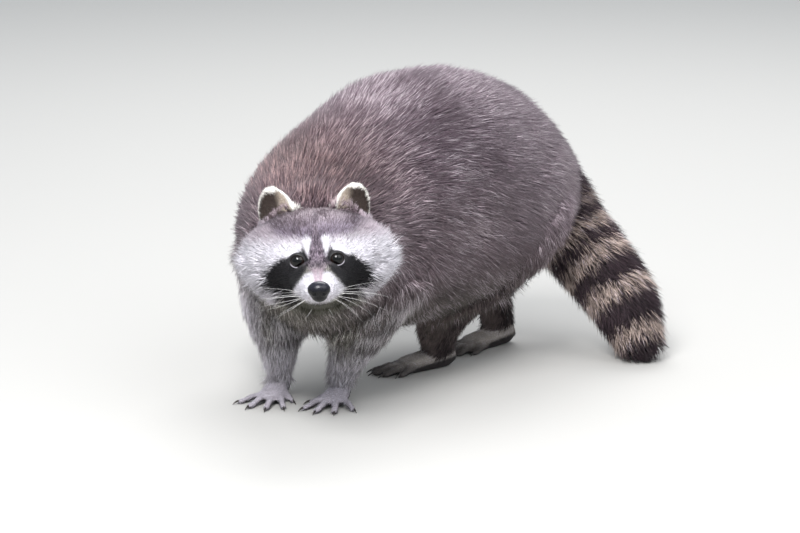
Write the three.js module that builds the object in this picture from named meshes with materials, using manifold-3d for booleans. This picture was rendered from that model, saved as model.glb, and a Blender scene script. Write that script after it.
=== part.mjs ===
// A common raccoon, life size, standing on four feet with its head turned to its left.
// Millimetres, +Z up, the animal's left is +X and it faces -Y. The solids reach out to the tips of the coat.
// The origin is on the floor, under the middle of the whole animal.
import * as THREE from "three";
import { mergeVertices } from "three/addons/utils/BufferGeometryUtils.js";
import Module from "manifold-3d";

const wasm = await Module();
wasm.setup();

// ---- driving dimensions ----
const GAP = 0.4; // between neighbouring pieces
const BACK_HEIGHT = 312; // floor to the top of the arched back
const TRUNK_GIRTH_SIDE = 121; // half the width of the coat at the belly
const FOOT_SINK = 1.6; // how much of each sole is pressed flat
const HEAD_TURN = 45; // degrees to the animal's left
const HEAD_ROLL = 3; // degrees, left side up
const EYE_RADIUS = 8;
const EYE_SPACING = 36;
const EYE_SECTORS = 10;
const CLAW_LENGTH = 9;

const COAT = {
  trunk: 0x6f6670,
  neck: 0x7a717a,
  head: 0xa59ea3,
  ear: 0xe6e0dc,
  leg: 0x8f8a8a,
  thigh: 0x39342f,
  foot: 0x9c9895,
  tail: 0x5d5353,
};
const furry = (color) => new THREE.MeshStandardMaterial({ color, roughness: 0.9, metalness: 0 });
const glossy = (color) => new THREE.MeshStandardMaterial({ color, roughness: 0.15, metalness: 0 });
const horny = new THREE.MeshStandardMaterial({ color: 0x241f1c, roughness: 0.45, metalness: 0 });

// ---- shape tools ----
const vec = (x, y, z) => new THREE.Vector3(x, y, z);

// A closed tube of egg-shaped sections. Each station gives its middle, its half width to the side and
// its reach towards (up) and away from (down) the reference direction. Both ends are rounded.
function loft(stations, { rings, sectors, towards = vec(0, 0, 1), grow = 0, capRings = 3, caps = [1, 1] }) {
  const path = new THREE.CatmullRomCurve3(stations.map((s) => vec(...s.at)), false, "centripetal");
  const reaches = stations.map((s) => vec(s.side, s.up, s.down));
  const size = new THREE.CatmullRomCurve3(reaches, false, "centripetal");
  const sections = [];
  const addSection = (t, push, scale) => {
    const along = path.getTangent(t);
    const up = towards.clone().addScaledVector(along, -towards.dot(along)).normalize();
    const side = new THREE.Vector3().crossVectors(up, along);
    const reach = size.getPoint(t).addScalar(grow);
    const middle = path.getPoint(t).addScaledVector(along, push);
    const ring = [];
    for (let i = 0; i < sectors; i++) {
      const turn = (2 * Math.PI * i) / sectors;
      const rise = Math.sin(turn) * (Math.sin(turn) > 0 ? reach.y : reach.z);
      ring.push(
        middle
          .clone()
          .addScaledVector(side, Math.cos(turn) * reach.x * scale)
          .addScaledVector(up, rise * scale),
      );
    }
    sections.push(ring);
  };
  const capDepth = (t, share) => {
    const reach = size.getPoint(t);
    return share * Math.min(reach.x, (reach.y + reach.z) / 2) + grow;
  };
  for (let k = 1; k < capRings; k++) {
    const turn = (Math.PI / 2) * (1 - k / capRings);
    addSection(0, -capDepth(0, caps[0]) * Math.sin(turn), Math.cos(turn));
  }
  for (let k = 0; k <= rings; k++) addSection(k / rings, 0, 1);
  for (let k = 1; k < capRings; k++) {
    const turn = (Math.PI / 2) * (k / capRings);
    addSection(1, capDepth(1, caps[1]) * Math.sin(turn), Math.cos(turn));
  }
  const first = path.getPoint(0).addScaledVector(path.getTangent(0), -capDepth(0, caps[0]));
  const last = path.getPoint(1).addScaledVector(path.getTangent(1), capDepth(1, caps[1]));
  return skinOver(sections, first, last);
}

// Closes a stack of rings into one surface with a point at each end.
function skinOver(sections, first, last) {
  const sectors = sections[0].length;
  const points = [first, ...sections.flat(), last].flatMap((p) => [p.x, p.y, p.z]);
  const lastIndex = sections.length * sectors + 1;
  const faces = [];
  const at = (ring, i) => 1 + ring * sectors + (i % sectors);
  for (let i = 0; i < sectors; i++) {
    faces.push(0, at(0, i + 1), at(0, i));
    for (let ring = 0; ring + 1 < sections.length; ring++) {
      faces.push(at(ring, i), at(ring, i + 1), at(ring + 1, i + 1));
      faces.push(at(ring, i), at(ring + 1, i + 1), at(ring + 1, i));
    }
    faces.push(at(sections.length - 1, i), at(sections.length - 1, i + 1), lastIndex);
  }
  const geometry = new THREE.BufferGeometry();
  geometry.setAttribute("position", new THREE.Float32BufferAttribute(points, 3));
  geometry.setIndex(faces);
  return geometry;
}

function ellipsoid([x, y, z], [rx, ry, rz], around) {
  return new THREE.SphereGeometry(1, around, around / 2).scale(rx, ry, rz).translate(x, y, z);
}

function solid(geometry) {
  const bare = geometry.clone();
  bare.deleteAttribute("normal");
  bare.deleteAttribute("uv");
  const merged = mergeVertices(bare, 1e-3);
  return new wasm.Manifold(
    new wasm.Mesh({
      numProp: 3,
      vertProperties: merged.attributes.position.array,
      triVerts: new Uint32Array(merged.index.array),
    }),
  );
}

const joined = (...solids) => solids.reduce((all, next) => all.add(next));
const placed = (body, matrix) => body.transform(matrix.elements);
const largest = (body) => body.decompose().reduce((a, b) => (b.volume() > a.volume() ? b : a));
const aboveFloor = (body) => body.trimByPlane([0, 0, 1], 0);

// The two sides of a solid, parted by a thin cut through point across direction.
function parted(body, point, direction) {
  const normal = vec(...direction).normalize();
  const offset = normal.dot(vec(...point));
  return [
    body.trimByPlane(normal.toArray(), offset + GAP / 2),
    body.trimByPlane(normal.clone().negate().toArray(), -offset + GAP / 2),
  ];
}

const animal = new THREE.Group();
function addNode(name, body, material) {
  const mesh = largest(body).getMesh();
  const geometry = new THREE.BufferGeometry();
  const points = new Float32Array(mesh.numVert * 3);
  for (let i = 0; i < mesh.numVert; i++) {
    points.set(mesh.vertProperties.subarray(i * mesh.numProp, i * mesh.numProp + 3), i * 3);
  }
  geometry.setAttribute("position", new THREE.BufferAttribute(points, 3));
  geometry.setIndex(new THREE.BufferAttribute(mesh.triVerts, 1));
  const node = new THREE.Mesh(geometry, material);
  node.name = name;
  animal.add(node);
}

// ---- neck and trunk, lofted as one and parted at the shoulders ----
const NECK_ROOT = [20, 12, 172];
const NECK_DIRECTION = [0.5, -0.86, 0];

// Stations run from the throat to the rump along the spine, which bends left at the shoulders.
function bodyLoft(grow = 0) {
  const belly = TRUNK_GIRTH_SIDE;
  const stations = [
    { at: [76, -58, 172], side: 0.5 * belly, up: 45, down: 60 },
    { at: [52, -30, 171], side: 0.61 * belly, up: 61, down: 76 },
    { at: [29, 4, 172], side: 0.75 * belly, up: 80, down: 94 },
    { at: [12, 46, 173], side: 0.87 * belly, up: 104, down: 107 },
    { at: [5, 98, 174], side: 0.93 * belly, up: 0.96 * BACK_HEIGHT - 174, down: 112 },
    { at: [1, 152, 176], side: 0.98 * belly, up: BACK_HEIGHT - 176, down: 115 },
    { at: [0, 210, 176], side: belly, up: 0.99 * BACK_HEIGHT - 176, down: 112 },
    { at: [0, 264, 172], side: 0.95 * belly, up: 118, down: 86 },
    { at: [2, 316, 166], side: 0.77 * belly, up: 86, down: 58 },
    { at: [5, 348, 161], side: 0.54 * belly, up: 60, down: 42 },
    { at: [7, 370, 158], side: 0.3 * belly, up: 33, down: 26 },
  ];
  return solid(loft(stations, { rings: 17, sectors: 24, grow, capRings: 2, caps: [0.6, 0.4] }));
}

// ---- head, built looking along -Y with its origin between the eyes ----
const headPlace = new THREE.Matrix4()
  .makeTranslation(115, -95, 179)
  .multiply(new THREE.Matrix4().makeRotationZ(THREE.MathUtils.degToRad(HEAD_TURN)))
  .multiply(new THREE.Matrix4().makeRotationY(THREE.MathUtils.degToRad(-HEAD_ROLL)));
const eyeAt = (sign) => [(sign * EYE_SPACING) / 2, -4, -1.5];

function headLoft(grow = 0) {
  const stations = [
    { at: [0, -51, -21], side: 12, up: 8, down: 9 },
    { at: [0, -40, -21], side: 19, up: 11, down: 11 },
    { at: [0, -26, -20], side: 24, up: 15, down: 15 },
    { at: [0, -11, -17], side: 27, up: 18, down: 23 },
    { at: [0, 3, -13], side: 43, up: 28, down: 36 },
    { at: [0, 18, -10], side: 65, up: 39, down: 49 },
    { at: [0, 36, -8], side: 77, up: 45, down: 58 },
    { at: [0, 56, -4], side: 73, up: 43, down: 60 },
    { at: [0, 74, 0], side: 56, up: 36, down: 52 },
  ];
  return solid(loft(stations, { rings: 13, sectors: 22, grow, capRings: 2, caps: [0.5, 0.5] }));
}

function jawLoft(grow = 0) {
  const stations = [
    { at: [0, -37, -33], side: 8, up: 4, down: 5 },
    { at: [0, -25, -35], side: 12, up: 6, down: 7 },
    { at: [0, -8, -38], side: 18, up: 8, down: 9 },
    { at: [0, 10, -43], side: 24, up: 10, down: 10 },
  ];
  return solid(loft(stations, { rings: 5, sectors: 12, grow, capRings: 2 }));
}

const noseSolid = (grow = 0) =>
  joined(
    solid(ellipsoid([0, -52, -18.5], [10.6 + grow, 8 + grow, 7.4 + grow], 12)),
    solid(ellipsoid([0, -50.5, -23.5], [7.8 + grow, 7.2 + grow, 7 + grow], 10)),
  );

function earSolid(sign) {
  const shell = (shrink, forward) =>
    solid(
      loft(
        [
          { at: [sign * 32, 50 + forward, 15], side: 17 - shrink, up: 9 - shrink, down: 10 },
          { at: [sign * 34, 52 + forward, 28], side: 19 - shrink, up: 8 - shrink, down: 9 },
          { at: [sign * 37, 54 + forward, 40], side: 18 - shrink, up: 7 - shrink / 2, down: 8 },
          { at: [sign * 39, 56 + forward, 49], side: 13.5 - shrink, up: 5.5 - shrink / 2, down: 6 },
          { at: [sign * 40, 57 + forward, 54], side: 8 - shrink, up: 4 - shrink / 2, down: 4.5 },
        ],
        { rings: 5, sectors: 10, towards: vec(sign * 0.35, 1, 0), caps: [0.6, 0.8], capRings: 2 },
      ),
    );
  return shell(0, 0).subtract(shell(3.5, -6.5));
}

function addHead() {
  let head = joined(headLoft(), solid(ellipsoid([0, -28, -27], [24, 18, 10], 10)));
  head = head.subtract(jawLoft(GAP)).subtract(noseSolid(GAP));
  for (const sign of [-1, 1]) {
    const side = sign > 0 ? "left" : "right";
    const socket = solid(ellipsoid(eyeAt(sign), Array(3).fill(EYE_RADIUS + GAP), EYE_SECTORS));
    head = head.subtract(socket);
    const ear = earSolid(sign).subtract(headLoft(GAP));
    addNode(`ear_${side}`, placed(ear, headPlace).subtract(bodyLoft(GAP)), furry(COAT.ear));
    const eye = solid(ellipsoid(eyeAt(sign), Array(3).fill(EYE_RADIUS), EYE_SECTORS));
    addNode(`eye_${side}`, placed(eye, headPlace), glossy(0x120c0a));
  }
  const jaw = jawLoft();
  addNode("head", placed(head, headPlace), furry(COAT.head));
  addNode("lower_jaw", placed(jaw, headPlace), furry(COAT.head));
  addNode("nose", placed(noseSolid(), headPlace), glossy(0x1b1a20));
}

// ---- legs ----
const front = vec(0, -1, 0);
const FORE_LEGS = {
  right: [
    { at: [-66, 34, 132], side: 36, up: 44, down: 42 },
    { at: [-57, 24, 104], side: 34, up: 38, down: 36 },
    { at: [-47, 14, 74], side: 31, up: 31, down: 30 },
    { at: [-37, 5, 46], side: 18, up: 17, down: 18 },
    { at: [-31, -1, 22], side: 10, up: 10, down: 11 },
  ],
  left: [
    { at: [66, 62, 134], side: 37, up: 42, down: 40 },
    { at: [55, 50, 104], side: 33, up: 36, down: 34 },
    { at: [41, 41, 74], side: 28, up: 28, down: 27 },
    { at: [30, 35, 46], side: 17, up: 16, down: 17 },
    { at: [24, 30, 22], side: 11, up: 11, down: 12 },
  ],
};
const HIND_LEGS = {
  left: [
    { at: [78, 266, 182], side: 38, up: 48, down: 34 },
    { at: [76, 250, 150], side: 44, up: 62, down: 35 },
    { at: [59, 222, 116], side: 36, up: 56, down: 25 },
    { at: [38, 191, 80], side: 26, up: 41, down: 24 },
    { at: [20, 184, 50], side: 20, up: 28, down: 21 },
    { at: [9, 190, 22], side: 14, up: 14, down: 15 },
  ],
  right: [
    { at: [-76, 282, 180], side: 30, up: 44, down: 32 },
    { at: [-75, 281, 150], side: 37, up: 58, down: 34 },
    { at: [-66, 276, 116], side: 35, up: 52, down: 30 },
    { at: [-38, 294, 80], side: 25, up: 32, down: 25 },
    { at: [-17, 304, 50], side: 18, up: 21, down: 19 },
    { at: [-9, 305, 22], side: 14, up: 15, down: 15 },
  ],
};

const legSolid = (stations, grow = 0) =>
  solid(loft(stations, { rings: 7, sectors: 12, towards: front, grow, capRings: 2, caps: [0.5, 0.4] }));

// ---- feet ----
// A foot lies along its own -Y with the wrist or heel at its origin, and is then turned and placed.
const FORE_FOOT = {
  sole: [
    { at: [0, 6, 11], side: 10, up: 10, down: 10 },
    { at: [0, -8, 9], side: 13, up: 9, down: 10 },
    { at: [0, -24, 7], side: 15, up: 7, down: 8 },
  ],
  toes: [
    { from: [-9, -8, 5], spread: 38, reach: 23, thick: 3.6 },
    { from: [-9, -24, 6], spread: 25, reach: 31, thick: 4.1 },
    { from: [-3, -27, 6], spread: 7, reach: 34, thick: 4.3 },
    { from: [4, -27, 6], spread: -12, reach: 32, thick: 4.3 },
    { from: [10, -22, 6], spread: -36, reach: 27, thick: 4 },
  ],
};
const HIND_FOOT = {
  sole: [
    { at: [0, -7, 13], side: 13, up: 13, down: 13 },
    { at: [0, -27, 11], side: 15, up: 11, down: 12 },
    { at: [0, -52, 8], side: 17, up: 9, down: 9 },
  ],
  toes: [
    { from: [-12, -44, 6], spread: 20, reach: 24, thick: 4.4 },
    { from: [-8, -55, 6], spread: 10, reach: 29, thick: 4.8 },
    { from: [-2, -58, 6], spread: 1, reach: 31, thick: 5 },
    { from: [5, -56, 6], spread: -8, reach: 29, thick: 4.8 },
    { from: [11, -48, 6], spread: -18, reach: 25, thick: 4.4 },
  ],
};
const FEET = [
  { name: "fore_foot_right", plan: FORE_FOOT, at: [-31, -1], turn: 26, mirror: true },
  { name: "fore_foot_left", plan: FORE_FOOT, at: [24, 30], turn: 28, mirror: false },
  { name: "hind_foot_left", plan: HIND_FOOT, at: [13, 205], turn: -15, mirror: false },
  { name: "hind_foot_right", plan: HIND_FOOT, at: [-7, 319], turn: -6, mirror: true },
];

// A point at a share of a toe's reach from its root, and its height.
function alongToe({ from, spread, reach }, share, height) {
  const heading = THREE.MathUtils.degToRad(spread);
  return [from[0] - Math.sin(heading) * reach * share, from[1] - Math.cos(heading) * reach * share, height];
}

function toeSolid(toe, grow = 0) {
  const round = (share) => ({ side: toe.thick * share, up: toe.thick * share, down: toe.thick * share });
  const stations = [
    { at: toe.from, ...round(1) },
    { at: alongToe(toe, 0.4, toe.thick + 2.4), ...round(0.95) },
    { at: alongToe(toe, 0.75, toe.thick + 0.2), ...round(0.85) },
    { at: alongToe(toe, 1, toe.thick - 1.2), ...round(0.9) },
  ];
  return solid(loft(stations, { rings: 3, sectors: 6, grow, capRings: 1 }));
}

// A curved cone that grows out of the end of a toe and bends down to the floor.
function clawSolid(toe, grow = 0) {
  const beyond = (length) => 1 + length / toe.reach;
  const stations = [
    { at: alongToe(toe, 1, 4.4), side: 1.3, up: 1.7, down: 1.5 },
    { at: alongToe(toe, beyond(0.55 * CLAW_LENGTH), 4.6), side: 1.1, up: 1.4, down: 1.3 },
    { at: alongToe(toe, beyond(CLAW_LENGTH), 2.2), side: 0.4, up: 0.5, down: 0.5 },
  ];
  return solid(loft(stations, { rings: 2, sectors: 4, grow, capRings: 1 }));
}

function footPlace({ at, turn, mirror }) {
  return new THREE.Matrix4()
    .makeTranslation(at[0], at[1], -FOOT_SINK)
    .multiply(new THREE.Matrix4().makeRotationZ(THREE.MathUtils.degToRad(turn)))
    .multiply(new THREE.Matrix4().makeScale(mirror ? -1 : 1, 1, 1));
}

const soleSolid = ({ plan }, grow = 0) =>
  solid(loft(plan.sole, { rings: 4, sectors: 8, grow, capRings: 2 }));

function addFoot(foot) {
  const { plan } = foot;
  const place = footPlace(foot);
  plan.toes.forEach((toe, i) => {
    const claw = clawSolid(toe).subtract(toeSolid(toe, GAP));
    const name = foot.name.replace("foot", "claw");
    addNode(`${name}_${i + 1}`, aboveFloor(placed(claw, place)), horny);
  });
  const body = joined(soleSolid(foot), ...plan.toes.map((toe) => toeSolid(toe)));
  addNode(foot.name, aboveFloor(placed(body, place)), furry(COAT.foot));
}

const footNamed = (name) => FEET.find((foot) => foot.name === name);

// A leg stands clear of its own foot, which is cut out of it a little larger.
function standing(stations, footName) {
  const foot = footNamed(footName);
  return legSolid(stations).subtract(placed(soleSolid(foot, GAP), footPlace(foot)));
}

function addLegs() {
  for (const [side, stations] of Object.entries(FORE_LEGS)) {
    addNode(`fore_leg_${side}`, standing(stations, `fore_foot_${side}`), furry(COAT.leg));
  }
  for (const [side, stations] of Object.entries(HIND_LEGS)) {
    const knee = stations[3].at;
    const [thigh, shank] = parted(standing(stations, `hind_foot_${side}`), knee, [0, -0.35, 1]);
    addNode(`thigh_${side}`, thigh, furry(COAT.thigh));
    addNode(`shank_${side}`, shank, furry(COAT.thigh));
  }
}

// ---- tail ----
function tailSolid() {
  const stations = [
    { at: [10, 338, 175], side: 46, up: 46, down: 46 },
    { at: [31, 348, 141], side: 45, up: 45, down: 45 },
    { at: [64, 355, 106], side: 42, up: 42, down: 42 },
    { at: [99, 358, 74], side: 39, up: 39, down: 39 },
    { at: [125, 357, 46], side: 35, up: 35, down: 34 },
    { at: [138, 354, 28], side: 30, up: 30, down: 29.5 },
  ];
  return solid(loft(stations, { rings: 11, sectors: 12, towards: vec(0, 1, 0.3) }));
}

// ---- assembly ----
let [neck, trunk] = parted(bodyLoft(), NECK_ROOT, NECK_DIRECTION);
for (const stations of [...Object.values(FORE_LEGS), ...Object.values(HIND_LEGS)]) {
  const room = legSolid(stations, GAP);
  trunk = trunk.subtract(room);
  neck = neck.subtract(room);
}
addNode("trunk", trunk, furry(COAT.trunk));
addNode("neck", neck.subtract(placed(headLoft(GAP), headPlace)), furry(COAT.neck));
addHead();
addLegs();
FEET.forEach(addFoot);
addNode("tail", aboveFloor(tailSolid().subtract(bodyLoft(GAP))), furry(COAT.tail));

// The origin is moved from between the forefeet to under the middle of the animal.
const reach = new THREE.Box3().setFromObject(animal);
const middle = reach.getCenter(new THREE.Vector3());
animal.position.set(-middle.x, -middle.y, -reach.min.z);

export default animal;
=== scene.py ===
import math

import bmesh
import bpy
import numpy as np
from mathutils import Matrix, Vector
from mathutils.bvhtree import BVHTree
from mathutils.kdtree import KDTree


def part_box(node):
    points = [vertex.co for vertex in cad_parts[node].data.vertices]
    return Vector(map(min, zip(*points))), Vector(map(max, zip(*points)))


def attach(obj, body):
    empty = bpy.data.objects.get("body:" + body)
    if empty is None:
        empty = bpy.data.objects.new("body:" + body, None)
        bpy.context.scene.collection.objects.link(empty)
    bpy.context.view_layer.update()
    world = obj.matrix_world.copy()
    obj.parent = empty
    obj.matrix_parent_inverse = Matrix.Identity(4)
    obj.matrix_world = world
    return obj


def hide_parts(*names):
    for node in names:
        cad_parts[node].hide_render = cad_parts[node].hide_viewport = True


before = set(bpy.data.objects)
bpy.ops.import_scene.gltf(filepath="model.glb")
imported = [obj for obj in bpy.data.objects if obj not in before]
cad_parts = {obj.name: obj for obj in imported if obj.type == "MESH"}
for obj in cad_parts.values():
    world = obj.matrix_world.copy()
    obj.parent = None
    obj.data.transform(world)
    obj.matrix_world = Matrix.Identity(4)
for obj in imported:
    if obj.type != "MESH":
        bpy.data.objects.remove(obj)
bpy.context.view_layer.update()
mm = 0.001
mergeReach = 2e-6  # metres within which a solid's corners become one
evening = 0.6  # how far a point goes towards its neighbours in one round of smoothing
rng = np.random.default_rng(11)


def report(text):
    print(f"[raccoon] {text}", flush=True)


def unit(vectors):
    vectors = np.asarray(vectors, float)
    return vectors / np.maximum(np.linalg.norm(vectors, axis=-1, keepdims=True), 1e-12)


def ease(values, low, high):
    share = np.clip((values - low) / (high - low), 0, 1)
    return share * share * (3 - 2 * share)


def mix(first, second, share):
    # a colour between two, or one for each share where there are many
    return first + (second - first) * np.asarray(share)[..., None]


def paint(red, green, blue):
    # a colour as a screen gives it, 0 to 255, turned into the linear light that materials use
    values = np.array([red, green, blue]) / 255
    return np.where(values > 0.04045, ((values + 0.055) / 1.055) ** 2.4, values / 12.92)


def middleOf(node):
    low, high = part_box(node)
    return np.array((low + high) / 2)


# the head's own axes: across towards its left ear, back towards the neck, and up
eyeMiddles = {side: middleOf(f"eye_{side}") for side in ("right", "left")}
midEyes = (eyeMiddles["right"] + eyeMiddles["left"]) / 2
headAcross = unit(eyeMiddles["left"] - eyeMiddles["right"])
headBack = unit(np.cross((0, 0, 1), headAcross))
headUp = np.cross(headAcross, headBack)
headAxes = np.array([headAcross, headBack, headUp])


def toHead(points):
    return (np.asarray(points) - midEyes) @ headAxes.T / mm


def fromHead(points):
    return midEyes + np.asarray(points, float) * mm @ headAxes


cameraPlan = {  # mm, degrees round and down, metres from between the eyes, and how far it sees
    "lens": 162, "azimuth": 43, "elevation": 13, "fromEyes": (2.3120, -2.3650, 0.7572), "reach": 100,
}
floorPlan = {"half": 15, "colour": paint(178, 176, 173), "roughness": 0.85}
worldPlan = {"colour": (0.86, 0.93, 1.0), "strength": 0.74, "tones": "Standard"}
lightPlans = {  # degrees round from the front and above the floor, metres, watts
    "keyLight": {"azimuth": 27, "elevation": 48, "away": 2.4, "size": 1.0, "power": 62},
    "fillLight": {"azimuth": 92, "elevation": 44, "away": 2.8, "size": 2.0, "power": 34},
    "catchLight": {"azimuth": 34, "elevation": 39, "away": 2.4, "size": 0.4, "power": 15},
    "rimLight": {"azimuth": 215, "elevation": 52, "away": 2.4, "size": 1.6, "power": 44},
}


def addCamera():
    camera = bpy.data.objects.new("camera", bpy.data.cameras.new("camera"))
    bpy.context.scene.collection.objects.link(camera)
    camera.data.lens = cameraPlan["lens"]
    camera.data.clip_end = cameraPlan["reach"]
    camera.location = Vector(midEyes + np.array(cameraPlan["fromEyes"]))
    turn = [90 - cameraPlan["elevation"], 0, cameraPlan["azimuth"]]
    camera.rotation_euler = [math.radians(angle) for angle in turn]
    bpy.context.scene.camera = camera


def addLights():
    world = bpy.data.worlds.new("softRoom")
    world.use_nodes = True
    background = world.node_tree.nodes["Background"]
    background.inputs["Color"].default_value = (*worldPlan["colour"], 1)
    background.inputs["Strength"].default_value = worldPlan["strength"]
    bpy.context.scene.world = world
    bpy.context.scene.view_settings.view_transform = worldPlan["tones"]
    target = Vector(middleOf("trunk"))
    for name, plan in lightPlans.items():
        lamp = bpy.data.lights.new(name, "AREA")
        lamp.size = plan["size"]
        lamp.energy = plan["power"]
        light = bpy.data.objects.new(name, lamp)
        bpy.context.scene.collection.objects.link(light)
        turn, rise = math.radians(plan["azimuth"]), math.radians(plan["elevation"])
        aim = Vector((math.sin(turn) * math.cos(rise), -math.cos(turn) * math.cos(rise), math.sin(rise)))
        light.location = target + aim * plan["away"]
        light.rotation_mode = "QUATERNION"
        light.rotation_quaternion = aim.to_track_quat("Z", "Y")


def put(tree, kind, inputs=None, **settings):
    node = tree.nodes.new(kind)
    for key, value in settings.items():
        setattr(node, key, value)
    for key, value in (inputs or {}).items():
        if isinstance(value, bpy.types.NodeSocket):
            tree.links.new(value, node.inputs[key])
        else:
            node.inputs[key].default_value = value
    return node


def newGroup(name, inputs, outputs):
    tree = bpy.data.node_groups.new(name, "ShaderNodeTree")
    for direction, sockets in (("INPUT", inputs), ("OUTPUT", outputs)):
        for label, kind in sockets.items():
            tree.interface.new_socket(label, in_out=direction, socket_type=f"NodeSocket{kind}")
    return tree, tree.nodes.new("NodeGroupInput").outputs, tree.nodes.new("NodeGroupOutput")


def newMaterial(name, **shader):
    material = bpy.data.materials.new(name)
    material.use_nodes = True
    principled = material.node_tree.nodes["Principled BSDF"]
    for key, value in shader.items():
        principled.inputs[key].default_value = value
    return material, material.node_tree, principled


def blendColours(tree, share, first, second, kind="MIX"):
    node = put(tree, "ShaderNodeMix", data_type="RGBA", blend_type=kind)
    for index, value in ((0, share), (6, first), (7, second)):
        if isinstance(value, bpy.types.NodeSocket):
            tree.links.new(value, node.inputs[index])
        else:
            node.inputs[index].default_value = value
    return node.outputs[2]


def mapped(tree, value, low, high, newLow, newHigh):
    inputs = {"Value": value, "From Min": low, "From Max": high, "To Min": newLow, "To Max": newHigh}
    return put(tree, "ShaderNodeMapRange", inputs, interpolation_type="SMOOTHSTEP").outputs[0]


def math2(tree, operation, first, second):
    return put(tree, "ShaderNodeMath", {0: first, 1: second}, operation=operation).outputs[0]


def lit(tree, colour, light):
    # the colour made lighter or darker by one value
    grey = put(tree, "ShaderNodeCombineColor", {0: light, 1: light, 2: light}).outputs[0]
    return blendColours(tree, 1.0, colour, grey, "MULTIPLY")


furPlan = {  # reads from and to, then light from and to
    "blotch": (0.3, 0.7, 0.84, 1.14), "tuft": (0.0, 1.0, 0.7, 1.22), "patch": (0.35, 0.65, 0.55, 1.5),
    "roughness": (0.0, 1.0, 0.62, 0.8),
    "root": (0.0, 0.75), "tip": (0.35, 0.85),  # shares of a tuft's length
    "detail": 3.0, "soft": 0.25, "shine": 0.3,
}


def makeFurTone():
    inputs = {"Colour": "Color", "Tip Colour": "Color", "Along": "Float", "Shade": "Float",
              "Grizzle": "Float", "Root Dark": "Float", "Blotch Size": "Float"}
    tree, given, out = newGroup("furTone", inputs, {"Colour": "Color", "Roughness": "Float"})
    place = put(tree, "ShaderNodeTexCoord").outputs["Object"]
    settings = {"Vector": place, "Scale": given["Blotch Size"], "Detail": furPlan["detail"]}
    blotch = put(tree, "ShaderNodeTexNoise", settings).outputs["Fac"]
    blotchLight = mapped(tree, blotch, *furPlan["blotch"])
    # painted shade: each shaft darkens towards its root, standing in for the shade deep in the coat
    rootShadeLight = mapped(tree, given["Along"], *furPlan["root"], given["Root Dark"], 1.0)
    tuftLight = mapped(tree, given["Shade"], *furPlan["tuft"])
    light = math2(tree, "MULTIPLY", math2(tree, "MULTIPLY", blotchLight, rootShadeLight), tuftLight)
    shaft = lit(tree, given["Colour"], light)
    patchy = mapped(tree, blotch, *furPlan["patch"])
    edge = math2(tree, "SUBTRACT", 1.0, math2(tree, "MULTIPLY", given["Grizzle"], patchy))
    chosen = mapped(tree, given["Shade"], edge, math2(tree, "ADD", edge, furPlan["soft"]), 0.0, 1.0)
    tip = mapped(tree, given["Along"], *furPlan["tip"], 0.0, 1.0)
    toned = blendColours(tree, math2(tree, "MULTIPLY", chosen, tip), shaft, given["Tip Colour"])
    tree.links.new(toned, out.inputs["Colour"])
    tree.links.new(mapped(tree, given["Shade"], *furPlan["roughness"]), out.inputs["Roughness"])
    return tree


grainPlan = {"light": (0.3, 0.7), "roughness": (0.2, 0.8, 0.8, 1.2), "detail": 4.0, "bump": 0.6}


def makeGrain():
    inputs = {"Colour": "Color", "Scale": "Float", "Contrast": "Float", "Roughness": "Float"}
    outputs = {"Colour": "Color", "Roughness": "Float", "Height": "Float"}
    tree, given, out = newGroup("grain", inputs, outputs)
    place = put(tree, "ShaderNodeTexCoord").outputs["Object"]
    cells = put(tree, "ShaderNodeTexVoronoi", {"Vector": place, "Scale": given["Scale"]})
    settings = {"Vector": place, "Scale": given["Scale"], "Detail": grainPlan["detail"]}
    noise = put(tree, "ShaderNodeTexNoise", settings).outputs["Fac"]
    low = math2(tree, "SUBTRACT", 1.0, given["Contrast"])
    light = mapped(tree, noise, *grainPlan["light"], low, 1.0)
    tree.links.new(lit(tree, given["Colour"], light), out.inputs["Colour"])
    rough = math2(tree, "MULTIPLY", given["Roughness"], mapped(tree, noise, *grainPlan["roughness"]))
    tree.links.new(rough, out.inputs["Roughness"])
    height = math2(tree, "ADD", cells.outputs["Distance"], noise)
    tree.links.new(height, out.inputs["Height"])
    return tree


furTone = makeFurTone()
grain = makeGrain()

coatFinishes = {  # one for each slot: share of light-tipped tufts, painted shade at the root, blotches a metre
    "body_coat": {"grizzle": 0.34, "rootDark": 0.42, "blotch": 16.0, "sheen": 0.05},
    "face_coat": {"grizzle": 0.6, "rootDark": 0.62, "blotch": 60.0, "sheen": 0.02},
    "ear_coat": {"grizzle": 0.3, "rootDark": 0.62, "blotch": 80.0, "sheen": 0.0},
    "leg_coat": {"grizzle": 0.58, "rootDark": 0.46, "blotch": 50.0, "sheen": 0.03},
    "thigh_coat": {"grizzle": 0.36, "rootDark": 0.45, "blotch": 40.0, "sheen": 0.03},
    "foot_coat": {"grizzle": 0.45, "rootDark": 0.6, "blotch": 90.0, "sheen": 0.0},
    "tail_coat": {"grizzle": 0.3, "rootDark": 0.45, "blotch": 30.0, "sheen": 0.04},
}


def makeCoatMaterial(slot):
    plan = coatFinishes[slot]
    name = slot.split("_")[0] + "Coat"
    look = {"Sheen Weight": plan["sheen"], "Specular IOR Level": furPlan["shine"]}
    material, tree, shader = newMaterial(name, **look)
    read = {key: put(tree, "ShaderNodeAttribute", attribute_name=key) for key in
            ("coatColour", "tipColour", "along", "shade")}
    tone = put(tree, "ShaderNodeGroup", node_tree=furTone)
    for socket, value in (("Grizzle", plan["grizzle"]), ("Root Dark", plan["rootDark"]),
                          ("Blotch Size", plan["blotch"])):
        tone.inputs[socket].default_value = value
    tree.links.new(read["coatColour"].outputs["Color"], tone.inputs["Colour"])
    tree.links.new(read["tipColour"].outputs["Color"], tone.inputs["Tip Colour"])
    tree.links.new(read["along"].outputs["Fac"], tone.inputs["Along"])
    tree.links.new(read["shade"].outputs["Fac"], tone.inputs["Shade"])
    tree.links.new(tone.outputs["Colour"], shader.inputs["Base Color"])
    tree.links.new(tone.outputs["Roughness"], shader.inputs["Roughness"])
    return material


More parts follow.
